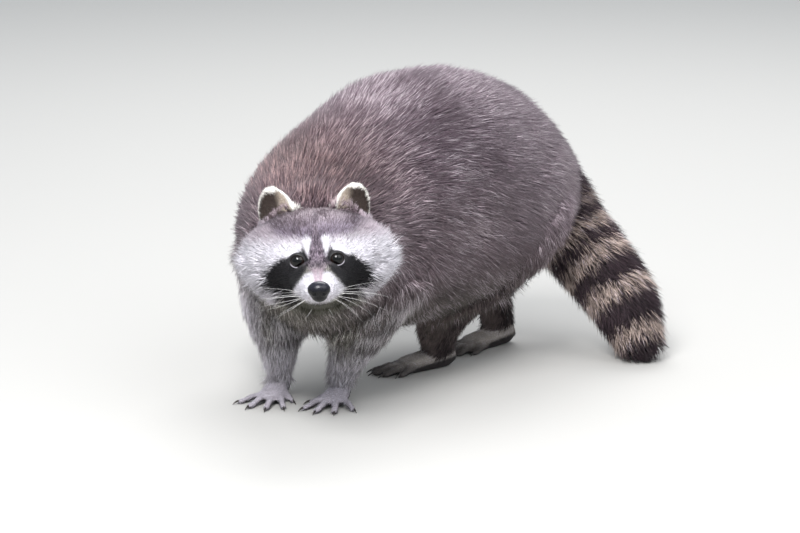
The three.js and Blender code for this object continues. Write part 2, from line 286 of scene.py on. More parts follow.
def makeGrainMaterial(name, finish):
    # a finish has its own colour, or reads one that its piece carries
    material, tree, shader = newMaterial(name, **finish.get("look", {}))
    tone = put(tree, "ShaderNodeGroup", node_tree=grain)
    for socket in ("Scale", "Contrast", "Roughness"):
        tone.inputs[socket].default_value = finish[socket.lower()]
    if "reads" in finish:
        source = put(tree, "ShaderNodeAttribute", attribute_name=finish["reads"]).outputs["Color"]
        tree.links.new(source, tone.inputs["Colour"])
    else:
        tone.inputs["Colour"].default_value = (*finish["colour"], 1)
    tree.links.new(tone.outputs["Colour"], shader.inputs["Base Color"])
    tree.links.new(tone.outputs["Roughness"], shader.inputs["Roughness"])
    height = {"Height": tone.outputs["Height"], "Strength": grainPlan["bump"], "Distance": finish["bump"]}
    relief = put(tree, "ShaderNodeBump", height)
    tree.links.new(relief.outputs["Normal"], shader.inputs["Normal"])
    return material


def coverIn(mesh, material):
    mesh.materials.clear()
    mesh.materials.append(material)


def meshObject(name, mesh, material=None):
    item = bpy.data.objects.new(name, mesh)
    bpy.context.scene.collection.objects.link(item)
    if material:
        coverIn(mesh, material)
    return item


def settle(item):
    # works the item's modifiers into a plain mesh
    bpy.context.view_layer.update()
    mesh = bpy.data.meshes.new_from_object(item.evaluated_get(bpy.context.evaluated_depsgraph_get()))
    old = item.data
    item.modifiers.clear()
    item.data = mesh
    bpy.data.meshes.remove(old)


def remeshEvenly(item, voxel):
    remesh = item.modifiers.new("remesh", "REMESH")
    remesh.mode = "VOXEL"
    remesh.voxel_size = voxel * mm
    settle(item)


def roundOff(item, levels):
    smooth = item.modifiers.new("smooth", "SUBSURF")
    smooth.levels = smooth.render_levels = levels
    settle(item)


def readAll(items, key, width, kind=float):
    values = np.empty(len(items) * width, np.int32 if kind is int else np.float32)
    items.foreach_get(key, values)
    return values.reshape(-1, width).astype(kind)


def pointsOf(mesh):
    return readAll(mesh.vertices, "co", 3)


def normalsOf(mesh):
    return readAll(mesh.vertices, "normal", 3)


def movePoints(mesh, points):
    mesh.vertices.foreach_set("co", np.asarray(points, np.float32).ravel())
    mesh.update()


def writeAttribute(mesh, name, values):
    values = np.asarray(values, np.float32)
    if values.ndim == 2:
        values = np.concatenate([values, np.ones((len(values), 1), np.float32)], axis=1)
        mesh.attributes.new(name, "FLOAT_COLOR", "POINT").data.foreach_set("color", values.ravel())
    else:
        mesh.attributes.new(name, "FLOAT", "POINT").data.foreach_set("value", values)


def finishPiece(item, slot, *nodes):
    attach(item, "root")
    if nodes:
        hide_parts(*nodes)


class Net:
    # the mesh's edges, for spreading values from each point to its neighbours
    def __init__(self, mesh):
        edges = readAll(mesh.edges, "vertices", 2, int)
        count = len(mesh.vertices)
        start = np.concatenate([edges[:, 0], edges[:, 1]])
        end = np.concatenate([edges[:, 1], edges[:, 0]])
        order = np.argsort(start, kind="stable")
        self.ends = end[order]
        self.firsts = np.searchsorted(start[order], np.arange(count))
        self.number = np.bincount(start, minlength=count)

    def average(self, values):
        sums = np.add.reduceat(values[self.ends], self.firsts, axis=0)
        return sums / (self.number if values.ndim == 1 else self.number[:, None])

    def spread(self, values, rounds):
        for _ in range(rounds):
            values = (values + self.average(values)) / 2
        return values


# the skin is one closed surface in place of the flesh solids
skinPlan = {
    "swell": 0.5,  # mm each solid grows by, to close the gaps between them
    "voxel": 1.7,  # mm
    "coarse": 0.3,  # share of the faces kept where the long coat hides the skin
    "hidden": ("trunk", "neck", "tail", "thigh"), "levels": 10,
    # rounds that lead one kind of node over into the next, and even out the way down to the skin
    "blend": 12, "edgeBlend": 6, "depthBlend": 14, "lastBlend": 2, "normalBlend": 4,
    "bare": ("foot", "ear"),  # their coat keeps its own depth right up to their edges
    "floor": 0.0002,  # metres that the soles stay above the floor
    "unwrap": 66, "margin": 0.001,  # degrees that one island may turn through, and the gap between islands
    "finish": {"scale": 1400.0, "contrast": 0.35, "roughness": 0.75, "bump": 0.0004, "reads": "coatColour"},
}
regions = {  # smoothing rounds, coat depth mm, for each kind of node
    "trunk": {"rounds": 46, "depth": 17}, "neck": {"rounds": 40, "depth": 16},
    "head": {"rounds": 10, "depth": 6}, "lower_jaw": {"rounds": 6, "depth": 2.5},
    "ear": {"rounds": 2, "depth": 0.8}, "fore_leg": {"rounds": 12, "depth": 5},
    "thigh": {"rounds": 26, "depth": 9}, "shank": {"rounds": 12, "depth": 4.5},
    "foot": {"rounds": 2, "depth": 0.8}, "tail": {"rounds": 24, "depth": 15},
    "eye": {"rounds": 2, "depth": 0}, "nose": {"rounds": 4, "depth": 1.4},
}
fleshNodes = [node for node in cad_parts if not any(word in node for word in ("eye", "nose", "claw"))]


def regionOf(node):
    return next(kind for kind in regions if kind in node)


def gatherSolids():
    # every solid but the claws, merged and swollen, with the face ranges that name each one
    whole = bmesh.new()
    spans = []
    for node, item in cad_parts.items():
        if "claw" in node:
            continue
        before = len(whole.faces)
        whole.from_mesh(item.data)
        spans.append((node, before, len(whole.faces)))
    whole.verts.index_update()
    faceNodes = [node for node, start, end in spans for _ in range(end - start)]
    points = [v.co.copy() for v in whole.verts]
    tree = BVHTree.FromPolygons(points, [[v.index for v in f.verts] for f in whole.faces])
    bmesh.ops.remove_doubles(whole, verts=whole.verts, dist=mergeReach)
    whole.normal_update()
    for vertex in whole.verts:
        vertex.co += vertex.normal * skinPlan["swell"] * mm
    mesh = bpy.data.meshes.new("skin")
    whole.to_mesh(mesh)
    whole.free()
    return mesh, tree, faceNodes


def labelPoints(points, tree, faceNodes):
    return np.array([faceNodes[tree.find_nearest(Vector(p))[2]] for p in points])


def makeRawSkin():
    mesh, tree, faceNodes = gatherSolids()
    skin = meshObject("skin", mesh)
    remeshEvenly(skin, skinPlan["voxel"])
    labels = labelPoints(pointsOf(skin.data), tree, faceNodes)
    net = Net(skin.data)
    kinds = np.array([regionOf(node) for node in labels])
    rounds = np.array([regions[kind]["rounds"] for kind in kinds], float)
    rounds = net.spread(rounds, skinPlan["blend"])
    points = pointsOf(skin.data)
    for k in range(int(rounds.max())):
        share = np.clip(rounds - k, 0, 1)[:, None] * evening
        points += (net.average(points) - points) * share
    movePoints(skin.data, points)
    coarse = skin.vertex_groups.new(name="coarse")
    hidden = np.isin(kinds, skinPlan["hidden"])
    share = net.spread(hidden.astype(float), skinPlan["edgeBlend"])
    levels = skinPlan["levels"]
    for level in range(1, levels + 1):
        chosen = np.nonzero(np.ceil(share * levels) == level)[0]
        if len(chosen):
            coarse.add(chosen.tolist(), level / levels, "REPLACE")
    decimate = skin.modifiers.new("decimate", "DECIMATE")
    decimate.ratio = skinPlan["coarse"]
    decimate.vertex_group = "coarse"
    settle(skin)
    return skin, tree, faceNodes


# coat depth on the head, mm, at places given on its left half in head axes (mm from between the eyes)
headDepths = [
    ((0, -48, -20), 1.0), ((12, -36, -24), 1.4), ((0, -20, -2), 1.2), ((14, -16, -8), 1.2),
    ((18, -10, 6), 1.0), ((18, 0, -8), 1.0), ((28, -2, -3), 1.6), ((0, 0, 10), 2.2), ((0, 20, 28), 4.5),
    ((25, 18, 22), 4.5), ((0, 45, 40), 7), ((40, 40, 30), 6), ((40, 6, -5), 6), ((50, 18, 5), 10),
    ((52, 18, -22), 13), ((66, 36, -5), 17), ((66, 36, -30), 17), ((60, 52, -45), 15), ((25, -4, -34), 4),
    ((34, 10, -40), 9), ((0, 0, -46), 5), ((0, 30, -54), 10), ((35, 38, -54), 13), ((0, -30, -40), 1.2),
]
depthEvenness = 16  # square mm; more of it makes the nearest place count for less
# gentle swellings and hollows, ((across, back, up), radius, height) in mm
faceForms = [
    ((19, -5, 10), 8, 1.3), ((10, -13, 0), 6, -1.2), ((15, -19, -9), 8, -1.6), ((0, -34, -8), 7, 0.6),
    ((13, -36, -26), 9, 1.6), ((0, -40, -38), 8, 0.8), ((36, 6, -14), 12, -1.0), ((8, 12, 18), 9, 0.8),
]
mouthPlan = {  # mm: the line from the nose down and round to its left corner, and the groove along it
    "line": [(0, -52, -28), (0, -50, -31), (7, -47.5, -32.5), (14, -38, -33.5), (20, -24, -34),
             (24, -10, -33)],
    "width": 1.3, "depth": 1.6,
}
facePlan = {  # mm in head axes
    "formed": (60, -75, 45, 60),  # half width, front, back and half height of what the forms reach
    "muzzle": (34, -70, 2, -48, 20),  # half width, front, back, low and high of what is refined once
    "eyeReach": (13.5, 12.5), "eyeAngle": 88,  # and round the eyes once more for each reach
}
eyePlan = {
    "radius": 8.0, "cornea": 0.35,  # mm: the ball, and the bulge of its front
    "corneaTurn": 0.62,  # how far from the gaze the bulge reaches, in radians
    "gaze": (0.2, -0.94, 0.26), "steps": 40, "around": 48,
    "wide": 53, "above": 43, "below": 45,  # degrees from the gaze to the lids
    "corner": 10, "cornerTurn": 0.35, "cornerWide": 0.3,  # the inner corner, degrees and radians
    "lid": 1.0,  # mm that the lids stand off the eyeball
    "reach": 16, "angle": 100,  # mm from the eyeball's middle and degrees from the gaze that are its socket
    "thin": (9.5, 16), "thinReach": 20, "thinAngle": 110,  # where the coat thins out towards the eyes
}
lidForm = {  # degrees past the lids' opening, and mm
    "edge": (-3, 3), "fold": 0.4, "foldAt": 9, "foldWide": 6,  # the lid's rise, and a fold round it
    "around": (8, 34), "most": 3,  # where the skin goes back to its own place, and how far it is pushed out
    "behind": 1.6,  # how deep the skin lies behind the eyeball's front
}


def turnedLeft(points):
    # what turns places, and ways at those places, over to the animal's left half
    return np.where(points[:, :1] < 0, [-1, 1, 1], [1, 1, 1])


def mirrored(points):
    return points * turnedLeft(points)


def headDepthAt(points):
    places = mirrored(points)
    away = [((places - place) ** 2).sum(1) for place, _ in headDepths]
    weights = np.stack([1 / (square + depthEvenness) ** 2 for square in away])
    depths = np.array([depth for _, depth in headDepths])
    return depths @ weights / weights.sum(0)


def lineDistance(points, line):
    # distance to a chain of straight stretches, and how far along it the nearest place lies
    line = np.asarray(line, float)
    best = np.full(len(points), np.inf)
    along = np.zeros(len(points))
    walked = 0.0
    for start, end in zip(line, line[1:]):
        run = end - start
        length = np.linalg.norm(run)
        share = np.clip((points - start) @ run / length**2, 0, 1)
        away = np.linalg.norm(points - start - share[:, None] * run, axis=1)
        closer = away < best
        best = np.where(closer, away, best)
        along = np.where(closer, walked + share * length, along)
        walked += length
    return best, along


def eyeFrame(side):
    sign = 1 if side == "left" else -1
    gaze = unit(np.array(eyePlan["gaze"]) * [sign, 1, 1])
    outward = unit(np.cross((0, 0, 1), gaze)) * sign
    return gaze, outward, np.cross(gaze, outward) * sign


def eyeAngles(points, side):
    # for head points: distance from the eyeball's middle, angle from the gaze, and the lids' angle there
    gaze, outward, rise = eyeFrame(side)
    away = points - toHead(eyeMiddles[side])
    radius = np.linalg.norm(away, axis=1)
    ways = unit(away)
    angle = np.degrees(np.arccos(np.clip(ways @ gaze, -1, 1)))
    turn = np.arctan2(ways @ rise, ways @ outward)
    return radius, angle, lidAngle(turn)


def lidAngle(turn):
    # how far the opening reaches from the gaze, in degrees; a turn of 0 is outward and a quarter turn is up
    height = np.where(np.sin(turn) > 0, eyePlan["above"], eyePlan["below"])
    oval = 1 / np.sqrt((np.cos(turn) / eyePlan["wide"]) ** 2 + (np.sin(turn) / height) ** 2)
    fromCorner = np.angle(np.exp(1j * (turn - math.pi - eyePlan["cornerTurn"])))
    return oval + eyePlan["corner"] * np.exp(-((fromCorner / eyePlan["cornerWide"]) ** 2))


def refine(mesh, chosen):
    # halves the edges of the chosen faces and splits what comes of it into triangles
    shape = bmesh.new()
    shape.from_mesh(mesh)
    shape.faces.ensure_lookup_table()
    edges = {edge for index in np.nonzero(chosen)[0] for edge in shape.faces[index].edges}
    bmesh.ops.subdivide_edges(shape, edges=sorted(edges, key=lambda e: e.index), cuts=1, smooth=0.0)
    bmesh.ops.triangulate(shape, faces=shape.faces)
    shape.to_mesh(mesh)
    shape.free()


def refineFace(mesh):
    centres = toHead(readAll(mesh.polygons, "center", 3))
    half, front, back, low, high = facePlan["muzzle"]
    chosen = (abs(centres[:, 0]) < half) & (centres[:, 1] > front) & (centres[:, 1] < back)
    refine(mesh, chosen & (centres[:, 2] > low) & (centres[:, 2] < high))
    for reach in facePlan["eyeReach"]:
        centres = toHead(readAll(mesh.polygons, "center", 3))
        chosen = np.zeros(len(centres), bool)
        for side in eyeMiddles:
            radius, angle, _ = eyeAngles(centres, side)
            chosen |= (radius < reach) & (angle < facePlan["eyeAngle"])
        refine(mesh, chosen)


def shapeFace(mesh):
    points = toHead(pointsOf(mesh))
    normals = normalsOf(mesh) @ headAxes.T
    half, front, back, high = facePlan["formed"]
    near = (abs(points[:, 0]) < half) & (points[:, 1] < back) & (points[:, 1] > front)
    near &= abs(points[:, 2]) < high
    lift = np.zeros(len(points))
    for place, radius, height in faceForms:
        for sign in ((1, -1) if place[0] else (1,)):
            away = np.linalg.norm(points - np.array(place) * [sign, 1, 1], axis=1)
            lift += height * np.exp(-((away / radius) ** 2))
    away, _ = lineDistance(mirrored(points), mouthPlan["line"])
    lift -= mouthPlan["depth"] * np.exp(-((away / mouthPlan["width"]) ** 2))
    points += normals * (lift * near)[:, None]
    for side in eyeMiddles:
        points = shapeSocket(points, side)
    movePoints(mesh, fromHead(points))


def shapeSocket(points, side):
    # lays the skin over the eyeball round the lids' opening, and sinks it behind the eyeball inside
    radius, angle, lids = eyeAngles(points, side)
    past = angle - lids
    lidRadius = eyePlan["radius"] + eyePlan["lid"] * ease(past, *lidForm["edge"])
    fromFold = (past - lidForm["foldAt"]) / lidForm["foldWide"]
    lidRadius = lidRadius + lidForm["fold"] * np.exp(-(fromFold**2))
    lidRadius = np.where(past < 0, eyePlan["radius"] - lidForm["behind"], lidRadius)
    around = 1 - ease(past, *lidForm["around"])
    target = np.where(past < 0, lidRadius, radius + (lidRadius - radius) * around)
    lifted = np.maximum(target, np.minimum(lidRadius, radius + lidForm["most"]))
    target = np.where(past < 0, target, lifted)
    inside = (radius < eyePlan["reach"]) & (angle < eyePlan["angle"])
    middle = toHead(eyeMiddles[side])
    return np.where(inside[:, None], middle + unit(points - middle) * target[:, None], points)


def sinkSkin(mesh, tree, faceNodes):
    # from the tips of the coat in to the skin
    labels = labelPoints(pointsOf(mesh), tree, faceNodes)
    net = Net(mesh)
    points = pointsOf(mesh)
    kinds = np.array([regionOf(node) for node in labels])
    depth = np.array([regions[kind]["depth"] for kind in kinds], float)
    depth = np.where(kinds == "head", headDepthAt(toHead(points)), depth)
    depth = np.where(np.isin(kinds, skinPlan["bare"]), depth, net.spread(depth, skinPlan["depthBlend"]))
    depth = net.spread(depth, skinPlan["lastBlend"])
    for side in eyeMiddles:
        radius, angle, _ = eyeAngles(toHead(points), side)
        near = (radius < eyePlan["thinReach"]) & (angle < eyePlan["thinAngle"])
        depth = np.where(near, depth * ease(radius, *eyePlan["thin"]), depth)
    normals = net.spread(normalsOf(mesh), skinPlan["normalBlend"])
    points = points - unit(normals) * depth[:, None] * mm
    points[:, 2] = np.maximum(points[:, 2], skinPlan["floor"])
    movePoints(mesh, points)
    return labels, depth


def unwrapSkin(skin):
    bpy.context.view_layer.objects.active = skin
    skin.select_set(True)
    bpy.ops.object.mode_set(mode="EDIT")
    bpy.ops.mesh.select_all(action="SELECT")
    bpy.ops.uv.smart_project(angle_limit=math.radians(skinPlan["unwrap"]), island_margin=skinPlan["margin"])
    bpy.ops.object.mode_set(mode="OBJECT")
    skin.data.uv_layers[0].name = "OFBake"


# markings, the same for the skin and the coat
tones = {
    # the back's tone is its own colour, made a little lighter and bluer by a painted sky sheen on the top of
    # the back
    "back": paint(113, 94, 105), "flank": paint(127, 110, 117), "belly": paint(96, 90, 82),
    "bodyTip": paint(206, 192, 199), "nape": paint(92, 69, 73), "napeTip": paint(158, 124, 118),
    "saddle": paint(160, 144, 153), "throat": paint(62, 60, 46),
    "chest": paint(110, 106, 96), "chestTip": paint(206, 203, 190),
    "forehead": paint(94, 80, 93), "foreheadTip": paint(154, 142, 160), "brow": paint(164, 146, 157),
    "crown": paint(112, 94, 103), "white": paint(243, 239, 246), "cheek": paint(222, 214, 222),
    "mask": paint(21, 18, 23), "stripe": paint(82, 70, 82), "bridge": paint(200, 180, 191),
    "jowl": paint(40, 35, 39), "lip": paint(20, 17, 19),
    "hollow": paint(56, 44, 39), "rim": paint(250, 246, 240), "inEar": paint(206, 190, 174),
    "foreleg": paint(132, 126, 127), "forelegTip": paint(232, 226, 232), "legPale": paint(226, 219, 226),
    "thigh": paint(60, 50, 52), "thighTip": paint(134, 120, 118), "shankPale": paint(126, 112, 108),
    "foot": paint(188, 181, 190), "hindFoot": paint(184, 175, 168), "footTip": paint(226, 222, 232),
    "sole": paint(38, 32, 33), "tailLight": paint(212, 191, 180), "tailDark": paint(64, 51, 57),
}
# the face's markings as outlines: distance from the midline, and height as seen from a little above, mm
faceMarks = {
    "mask": [(12, 12.5), (17, 9), (25, 5.5), (36, 2.5), (45, -4), (53, -13), (55, -20), (48, -27), (38, -31),
             (28, -36), (19, -39), (22, -26), (18, -19), (12, -11), (9, -4), (9.5, 4)],
    "stripe": [(0, 36), (1.4, 34), (3, 22), (3.6, 18), (6, 9), (8, 1), (8.6, -6), (5, -15), (0, -17)],
    "wedge": [(4.2, 21), (8.5, 22.5), (13, 21), (12.6, 14), (10.6, 9), (8.8, 3), (6.6, 9)],
    "ruff": [(11, 8), (11, 20), (20, 23), (28, 23), (37, 26), (43, 34), (48, 43), (58, 44), (90, 34),
             (100, 0), (95, -62), (64, -64), (50, -47), (40, -37), (30, -25), (20, 0)],
    "jowl": [(17, -37), (23, -32), (27, -29.5), (38, -30), (43, -34), (36, -39), (26, -41)],
    "muzzle": [(4, -12), (8, -11), (12, -12.5), (17, -18), (21, -23), (24.5, -27), (22, -31), (16, -36),
               (9, -39.5), (0, -41), (0, -12)],
    "bridge": [(0, -8), (5, -9), (4.5, -14), (4.2, -20), (4.8, -26), (0, -26)],
}
# the marks in the order that they are laid on, and how softly each ends, mm
faceBlur = {"ruff": 5.0, "mask": 2.0, "wedge": 1.4, "stripe": 1.6, "jowl": 2.4, "muzzle": 1.4, "bridge": 2.4}
facePitch = math.radians(13)  # the face's heights are taken as seen from this far above
faceFades = {  # mm up or down from the eyes or out from the midline, degrees past the lids, and shares
    "forehead": (-16, 4), "crown": (24, 48), "cheek": (14, 52), "brow": (11, 30), "browShare": 0.8,
    "line": 2.2, "lineFrom": (20, 26), "lineTo": (36, 58), "lineBase": 0.7, "lineTip": 0.5,
    "throat": (37, 41), "throatTo": (48, 70), "throatOut": (16, 42), "throatTip": 0.8,
    "stripeTip": 0.5, "lip": (0.9, 2.0), "eyeRim": (8, 22), "eyeReach": 15,
}
blendPlan = {
    "head": (46, 76),  # mm behind the eyes over which the face's colours give way to the body's
    "headReach": 170,  # mm from between the eyes that they reach at most
    "leg": (0.08, 0.125),  # metres above the floor over which the legs' colours give way to the body's
}


def within(across, height, outline, blur):
    # 1 inside the outline and 0 outside, with a soft edge
    places = np.stack([across, height], axis=1)
    corners = np.array(outline, float)
    ends = np.roll(corners, -1, axis=0)
    inside = np.zeros(len(places), bool)
    nearest = np.full(len(places), np.inf)
    for start, end in zip(corners, ends):
        run = end - start
        share = np.clip((places - start) @ run / (run @ run), 0, 1)
        nearest = np.minimum(nearest, np.linalg.norm(places - start - share[:, None] * run, axis=1))
        crosses = (start[1] > height) != (end[1] > height)
        slope = run[0] / (run[1] or 1)  # no height crosses a level stretch, so its slope doesn't count
        inside ^= crosses & (across < start[0] + (height - start[1]) * slope)
    return ease(np.where(inside, nearest, -nearest), -blur, blur)


def faceColour(points):
    # points in head axes; gives the shaft's and the tip's colours
    across = abs(points[:, 0])
    height = points[:, 2] * math.cos(facePitch) + points[:, 1] * math.sin(facePitch)
    fades = faceFades
    raised = ease(height, *fades["forehead"])
    base = mix(tones["chest"], tones["forehead"], raised)
    tip = mix(tones["chestTip"], tones["foreheadTip"], raised)
    crown = ease(height, *fades["crown"])
    base, tip = mix(base, tones["crown"], crown), mix(tip, tones["bodyTip"], crown)
    line = np.exp(-((across / fades["line"]) ** 2)) * ease(height, *fades["lineFrom"])
    line = line * (1 - ease(height, *fades["lineTo"]))
    base = mix(base, tones["stripe"], line * fades["lineBase"])
    tip = mix(tip, tones["stripe"], line * fades["lineTip"])
    throat = ease(-height, *fades["throat"]) * (1 - ease(-height, *fades["throatTo"]))
    throat = throat * (1 - ease(across, *fades["throatOut"]))
    base, tip = mix(base, tones["throat"], throat), mix(tip, tones["throat"], throat * fades["throatTip"])
    for mark, blur in faceBlur.items():
        share = within(across, height, faceMarks[mark], blur)
        tone = tones.get(mark, tones["white"])
        if mark == "ruff":
            tone = mix(tone, tones["cheek"], ease(-height, *fades["cheek"]))
            tone = mix(tone, tones["brow"], fades["browShare"] * ease(height, *fades["brow"]))
        base = mix(base, tone, share)
        if mark == "stripe":
            tip = mix(tip, tones["bridge"], share * fades["stripeTip"])
        else:
            tip = mix(tip, tone, share)
    away, _ = lineDistance(mirrored(points), mouthPlan["line"])
    lip = 1 - ease(away, *fades["lip"])
    base, tip = mix(base, tones["lip"], lip), mix(tip, tones["lip"], lip)
    for side in eyeMiddles:
        radius, angle, lids = eyeAngles(points, side)
        rim = (1 - ease(angle - lids, *fades["eyeRim"])) * (radius < fades["eyeReach"])
        base, tip = mix(base, tones["mask"], rim), mix(tip, tones["mask"], rim)
    return base, tip


tailPlan = {  # the middle line as shares of the tail's box, root to tip
    "line": [(0.13, 0.333, 0.815), (0.246, 0.447, 0.657), (0.429, 0.527, 0.494), (0.623, 0.561, 0.345),
             (0.767, 0.55, 0.214), (0.839, 0.516, 0.13), (0.909, 0.482, 0.048)],
    # where each light ring starts and ends, mm from the tip, and how strong it is
    "rings": [(8, 22, 1), (56, 71, 1), (98, 113, 1), (135, 147, 0.9), (163, 171, 0.45)],
    "bodyFrom": (190, 214), "blur": 2.5,  # mm: where the body's colours take over, and the rings' soft edges
    "wave": 3, "waves": (700, 900),  # mm that the ring edges wander, and how often across and up
    "darkTip": 1.5,  # the dark tufts' tips are this much lighter than their shafts
}
tailLow, tailHigh = (np.array(corner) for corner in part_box("tail"))
tailLine = np.array([tailLow + (tailHigh - tailLow) * share for share in tailPlan["line"]])


def tailColour(points):
    _, along = lineDistance(points, tailLine)
    length = np.linalg.norm(np.diff(tailLine, axis=0), axis=1).sum()
    across, up = tailPlan["waves"]
    wave = tailPlan["wave"] * np.sin(points[:, 0] * across) * np.sin(points[:, 2] * up)
    fromTip = (length - along) / mm + wave
    light = np.zeros(len(points))
    blur = tailPlan["blur"]
    for start, end, strength in tailPlan["rings"]:
        begun, ended = (ease(fromTip, edge - blur, edge + blur) for edge in (start, end))
        light = np.maximum(light, strength * begun * (1 - ended))
    base = mix(tones["tailDark"], tones["tailLight"], light)
    tip = mix(tones["tailDark"] * tailPlan["darkTip"], tones["bodyTip"], light)
    root = ease(fromTip, *tailPlan["bodyFrom"])
    return mix(base, tones["back"], root), mix(tip, tones["bodyTip"], root)


trunkLow, trunkHigh = (np.array(corner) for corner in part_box("trunk"))
trunkMiddle = (trunkLow + trunkHigh) / 2
rightForeLeg = middleOf("fore_leg_right")[0]
chestMiddle = (rightForeLeg + middleOf("fore_leg_left")[0]) / 2
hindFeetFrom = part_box("hind_foot_left")[0][1]
bodyFades = {  # metres above the floor, or back from the breast or the trunk's middle, and shares
    "flank": (0.07, 0.14), "back": (0.17, 0.25), "nape": (0.18, 0.25), "napeBack": (0.02, 0.14),
    "saddle": (-0.06, 0.08), "saddleUp": (0.12, 0.18), "saddleShare": 0.85,
    "chest": (-0.03, 0.07), "chestUp": (0.09, 0.17), "chestTip": 0.7,
    "paleSide": (-0.03, 0.005), "paleShare": 0.7, "fold": 0.022, "foldShare": 0.7,
    "napeTip": (0.17, 0.23), "napeTipShare": 0.8,
}
legFades = {  # metres above the floor or out from the right foreleg's middle, how the fur faces, and shares
    "pale": (-0.022, 0.008), "wrist": (0.03, 0.06), "wristShare": 0.6,
    "inner": (0.012, 0.03), "innerUp": (0.03, 0.07), "innerShare": 0.8, "outward": (0.1, 0.8), "clear": 0.85,
    "thigh": (0.1, 0.15), "shankFront": (0.1, 0.8), "shankUp": (0.05, 0.09),
}
footFades = {  # metres ahead of the hind feet or above the floor, how the skin faces, and shares; the sole tone is the pads' own colour where the skin faces down, and painted shade on side faces and between the toes
    "hind": 0.02, "finger": (0.012, 0.02), "fingerDark": 0.28, "under": (-0.5, 0.35),
    "edge": (0.005, 0.013), "edgeShare": 0.8,
}


def easeFrom(values, start, span):
    return ease(values, start + span[0], start + span[1])


def bodyColour(points):
    fades = bodyFades
    back, height = points[:, 1], points[:, 2]
    forward = 1 - easeFrom(back, trunkLow[1], fades["napeBack"])
    base = mix(tones["belly"], tones["flank"], ease(height, *fades["flank"]))
    base = mix(base, tones["back"], ease(height, *fades["back"]))
    base = mix(base, tones["nape"], forward * ease(height, *fades["nape"]))
    saddle = easeFrom(back, trunkMiddle[1], fades["saddle"]) * ease(height, *fades["saddleUp"])
    base = mix(base, tones["saddle"], fades["saddleShare"] * saddle)
    chest = (1 - easeFrom(back, trunkLow[1], fades["chest"])) * (1 - ease(height, *fades["chestUp"]))
    base = mix(base, tones["chest"], chest)
    paleSide = ease(rightForeLeg - points[:, 0], *fades["paleSide"])
    base = mix(base, tones["legPale"], fades["paleShare"] * chest * paleSide)
    fold = np.exp(-(((points[:, 0] - chestMiddle) / fades["fold"]) ** 2))
    base = mix(base, tones["throat"], fades["foldShare"] * chest * fold)
    tip = mix(tones["bodyTip"], tones["chestTip"], chest * fades["chestTip"])
    napeTip = fades["napeTipShare"] * forward * ease(height, *fades["napeTip"])
    return base, mix(tip, tones["napeTip"], napeTip)


def foreLegColour(points, normals):
    fades = legFades
    out, height = points[:, 0] - rightForeLeg, points[:, 2]
    wrist = fades["wristShare"] * (1 - ease(height, *fades["wrist"]))
    pale = np.maximum(ease(-out, *fades["pale"]), wrist)
    inner = fades["innerShare"] * ease(out, *fades["inner"]) * ease(height, *fades["innerUp"])
    inner *= 1 - fades["clear"] * ease(normals[:, 0], *fades["outward"])
    base = mix(tones["foreleg"], tones["chest"], inner)
    tip = mix(tones["forelegTip"], tones["chestTip"], inner)
    return mix(base, tones["legPale"], pale), mix(tip, tones["white"], pale)


def hindLegColour(points, normals):
    fades = legFades
    high = ease(points[:, 2], *fades["thigh"])
    base = mix(tones["thigh"], tones["flank"], high)
    tip = mix(tones["thighTip"], tones["bodyTip"], high)
    shank = ease(-normals[:, 1], *fades["shankFront"]) * (1 - ease(points[:, 2], *fades["shankUp"]))
    return mix(base, tones["shankPale"], shank), tip


def footColour(points, normals):
    fades = footFades
    hind = ease(points[:, 1], hindFeetFrom - fades["hind"], hindFeetFrom)
    finger = (1 - hind) * (1 - ease(points[:, 2], *fades["finger"]))
    # the sole tone: real pads where the skin faces down, painted shade where it faces sideways and in the
    # gaps between the toes
    under = ease(-normals[:, 2] + fades["fingerDark"] * finger, *fades["under"])
    # the hind feet grow darker towards the floor over their lowest centimetre
    edge = fades["edgeShare"] * hind * (1 - ease(points[:, 2], *fades["edge"]))
    under = np.maximum(under, edge)
    base = mix(tones["foot"], tones["hindFoot"], hind)
    return mix(base, tones["sole"], under), mix(tones["footTip"], tones["sole"], under)


earPlan = {  # mm in head axes on the left side, then shares of the ear's height or half width
    "foot": (32, 50, 15), "top": (40, 57, 58), "halfWidth": 18.5, "facing": (-0.1, -1, 0.1),
    "widest": 0.3, "curve": 2.6, "narrow": 0.04, "topEdge": (0.7, 1.04), "topShare": 0.95,
    "rim": 0.66, "rimSoft": 0.2, "rimLean": 0.22, "leanTo": 0.5, "front": (0.0, 0.35),
    "behind": (0.1, 0.5), "backRim": (0.75, 0.95), "innerShare": 0.75, "pale": 0.3, "hollowPale": 0.25,
}


def earColour(points, normals):
    places = mirrored(points)
    foot, top = np.array(earPlan["foot"], float), np.array(earPlan["top"], float)
    up = unit(top - foot)
    forward = np.array(earPlan["facing"])
    front = unit(forward - up * (forward @ up))
    side = np.cross(up, front)
    rise = (places - foot) @ up / np.linalg.norm(top - foot)
    off = (places - foot) @ side / earPlan["halfWidth"]
    narrowing = np.clip((rise - earPlan["widest"]) / (1 - earPlan["widest"]), 0, 1) ** earPlan["curve"]
    width = np.sqrt(np.clip(1 - narrowing, earPlan["narrow"], 1))
    edge = np.maximum(abs(off) / width, ease(rise, *earPlan["topEdge"]) * earPlan["topShare"])
    facing = (normals * turnedLeft(points)) @ front
    outer = off * np.sign(side[0])
    leaning = edge - earPlan["rimLean"] * ease(outer, 0, earPlan["leanTo"])
    hollow = 1 - ease(leaning, earPlan["rim"], earPlan["rim"] + earPlan["rimSoft"])
    hollow = ease(facing, *earPlan["front"]) * hollow
    back = ease(-facing, *earPlan["behind"]) * (1 - ease(edge, *earPlan["backRim"]))
    inner = hollow * ease(-outer, 0, earPlan["leanTo"])
    base = mix(tones["rim"], tones["back"], back)
    base = mix(base, tones["hollow"], hollow)
    base = mix(base, tones["inEar"], inner * earPlan["innerShare"])
    return base, mix(base, tones["rim"], earPlan["pale"] - earPlan["hollowPale"] * hollow * (1 - inner))


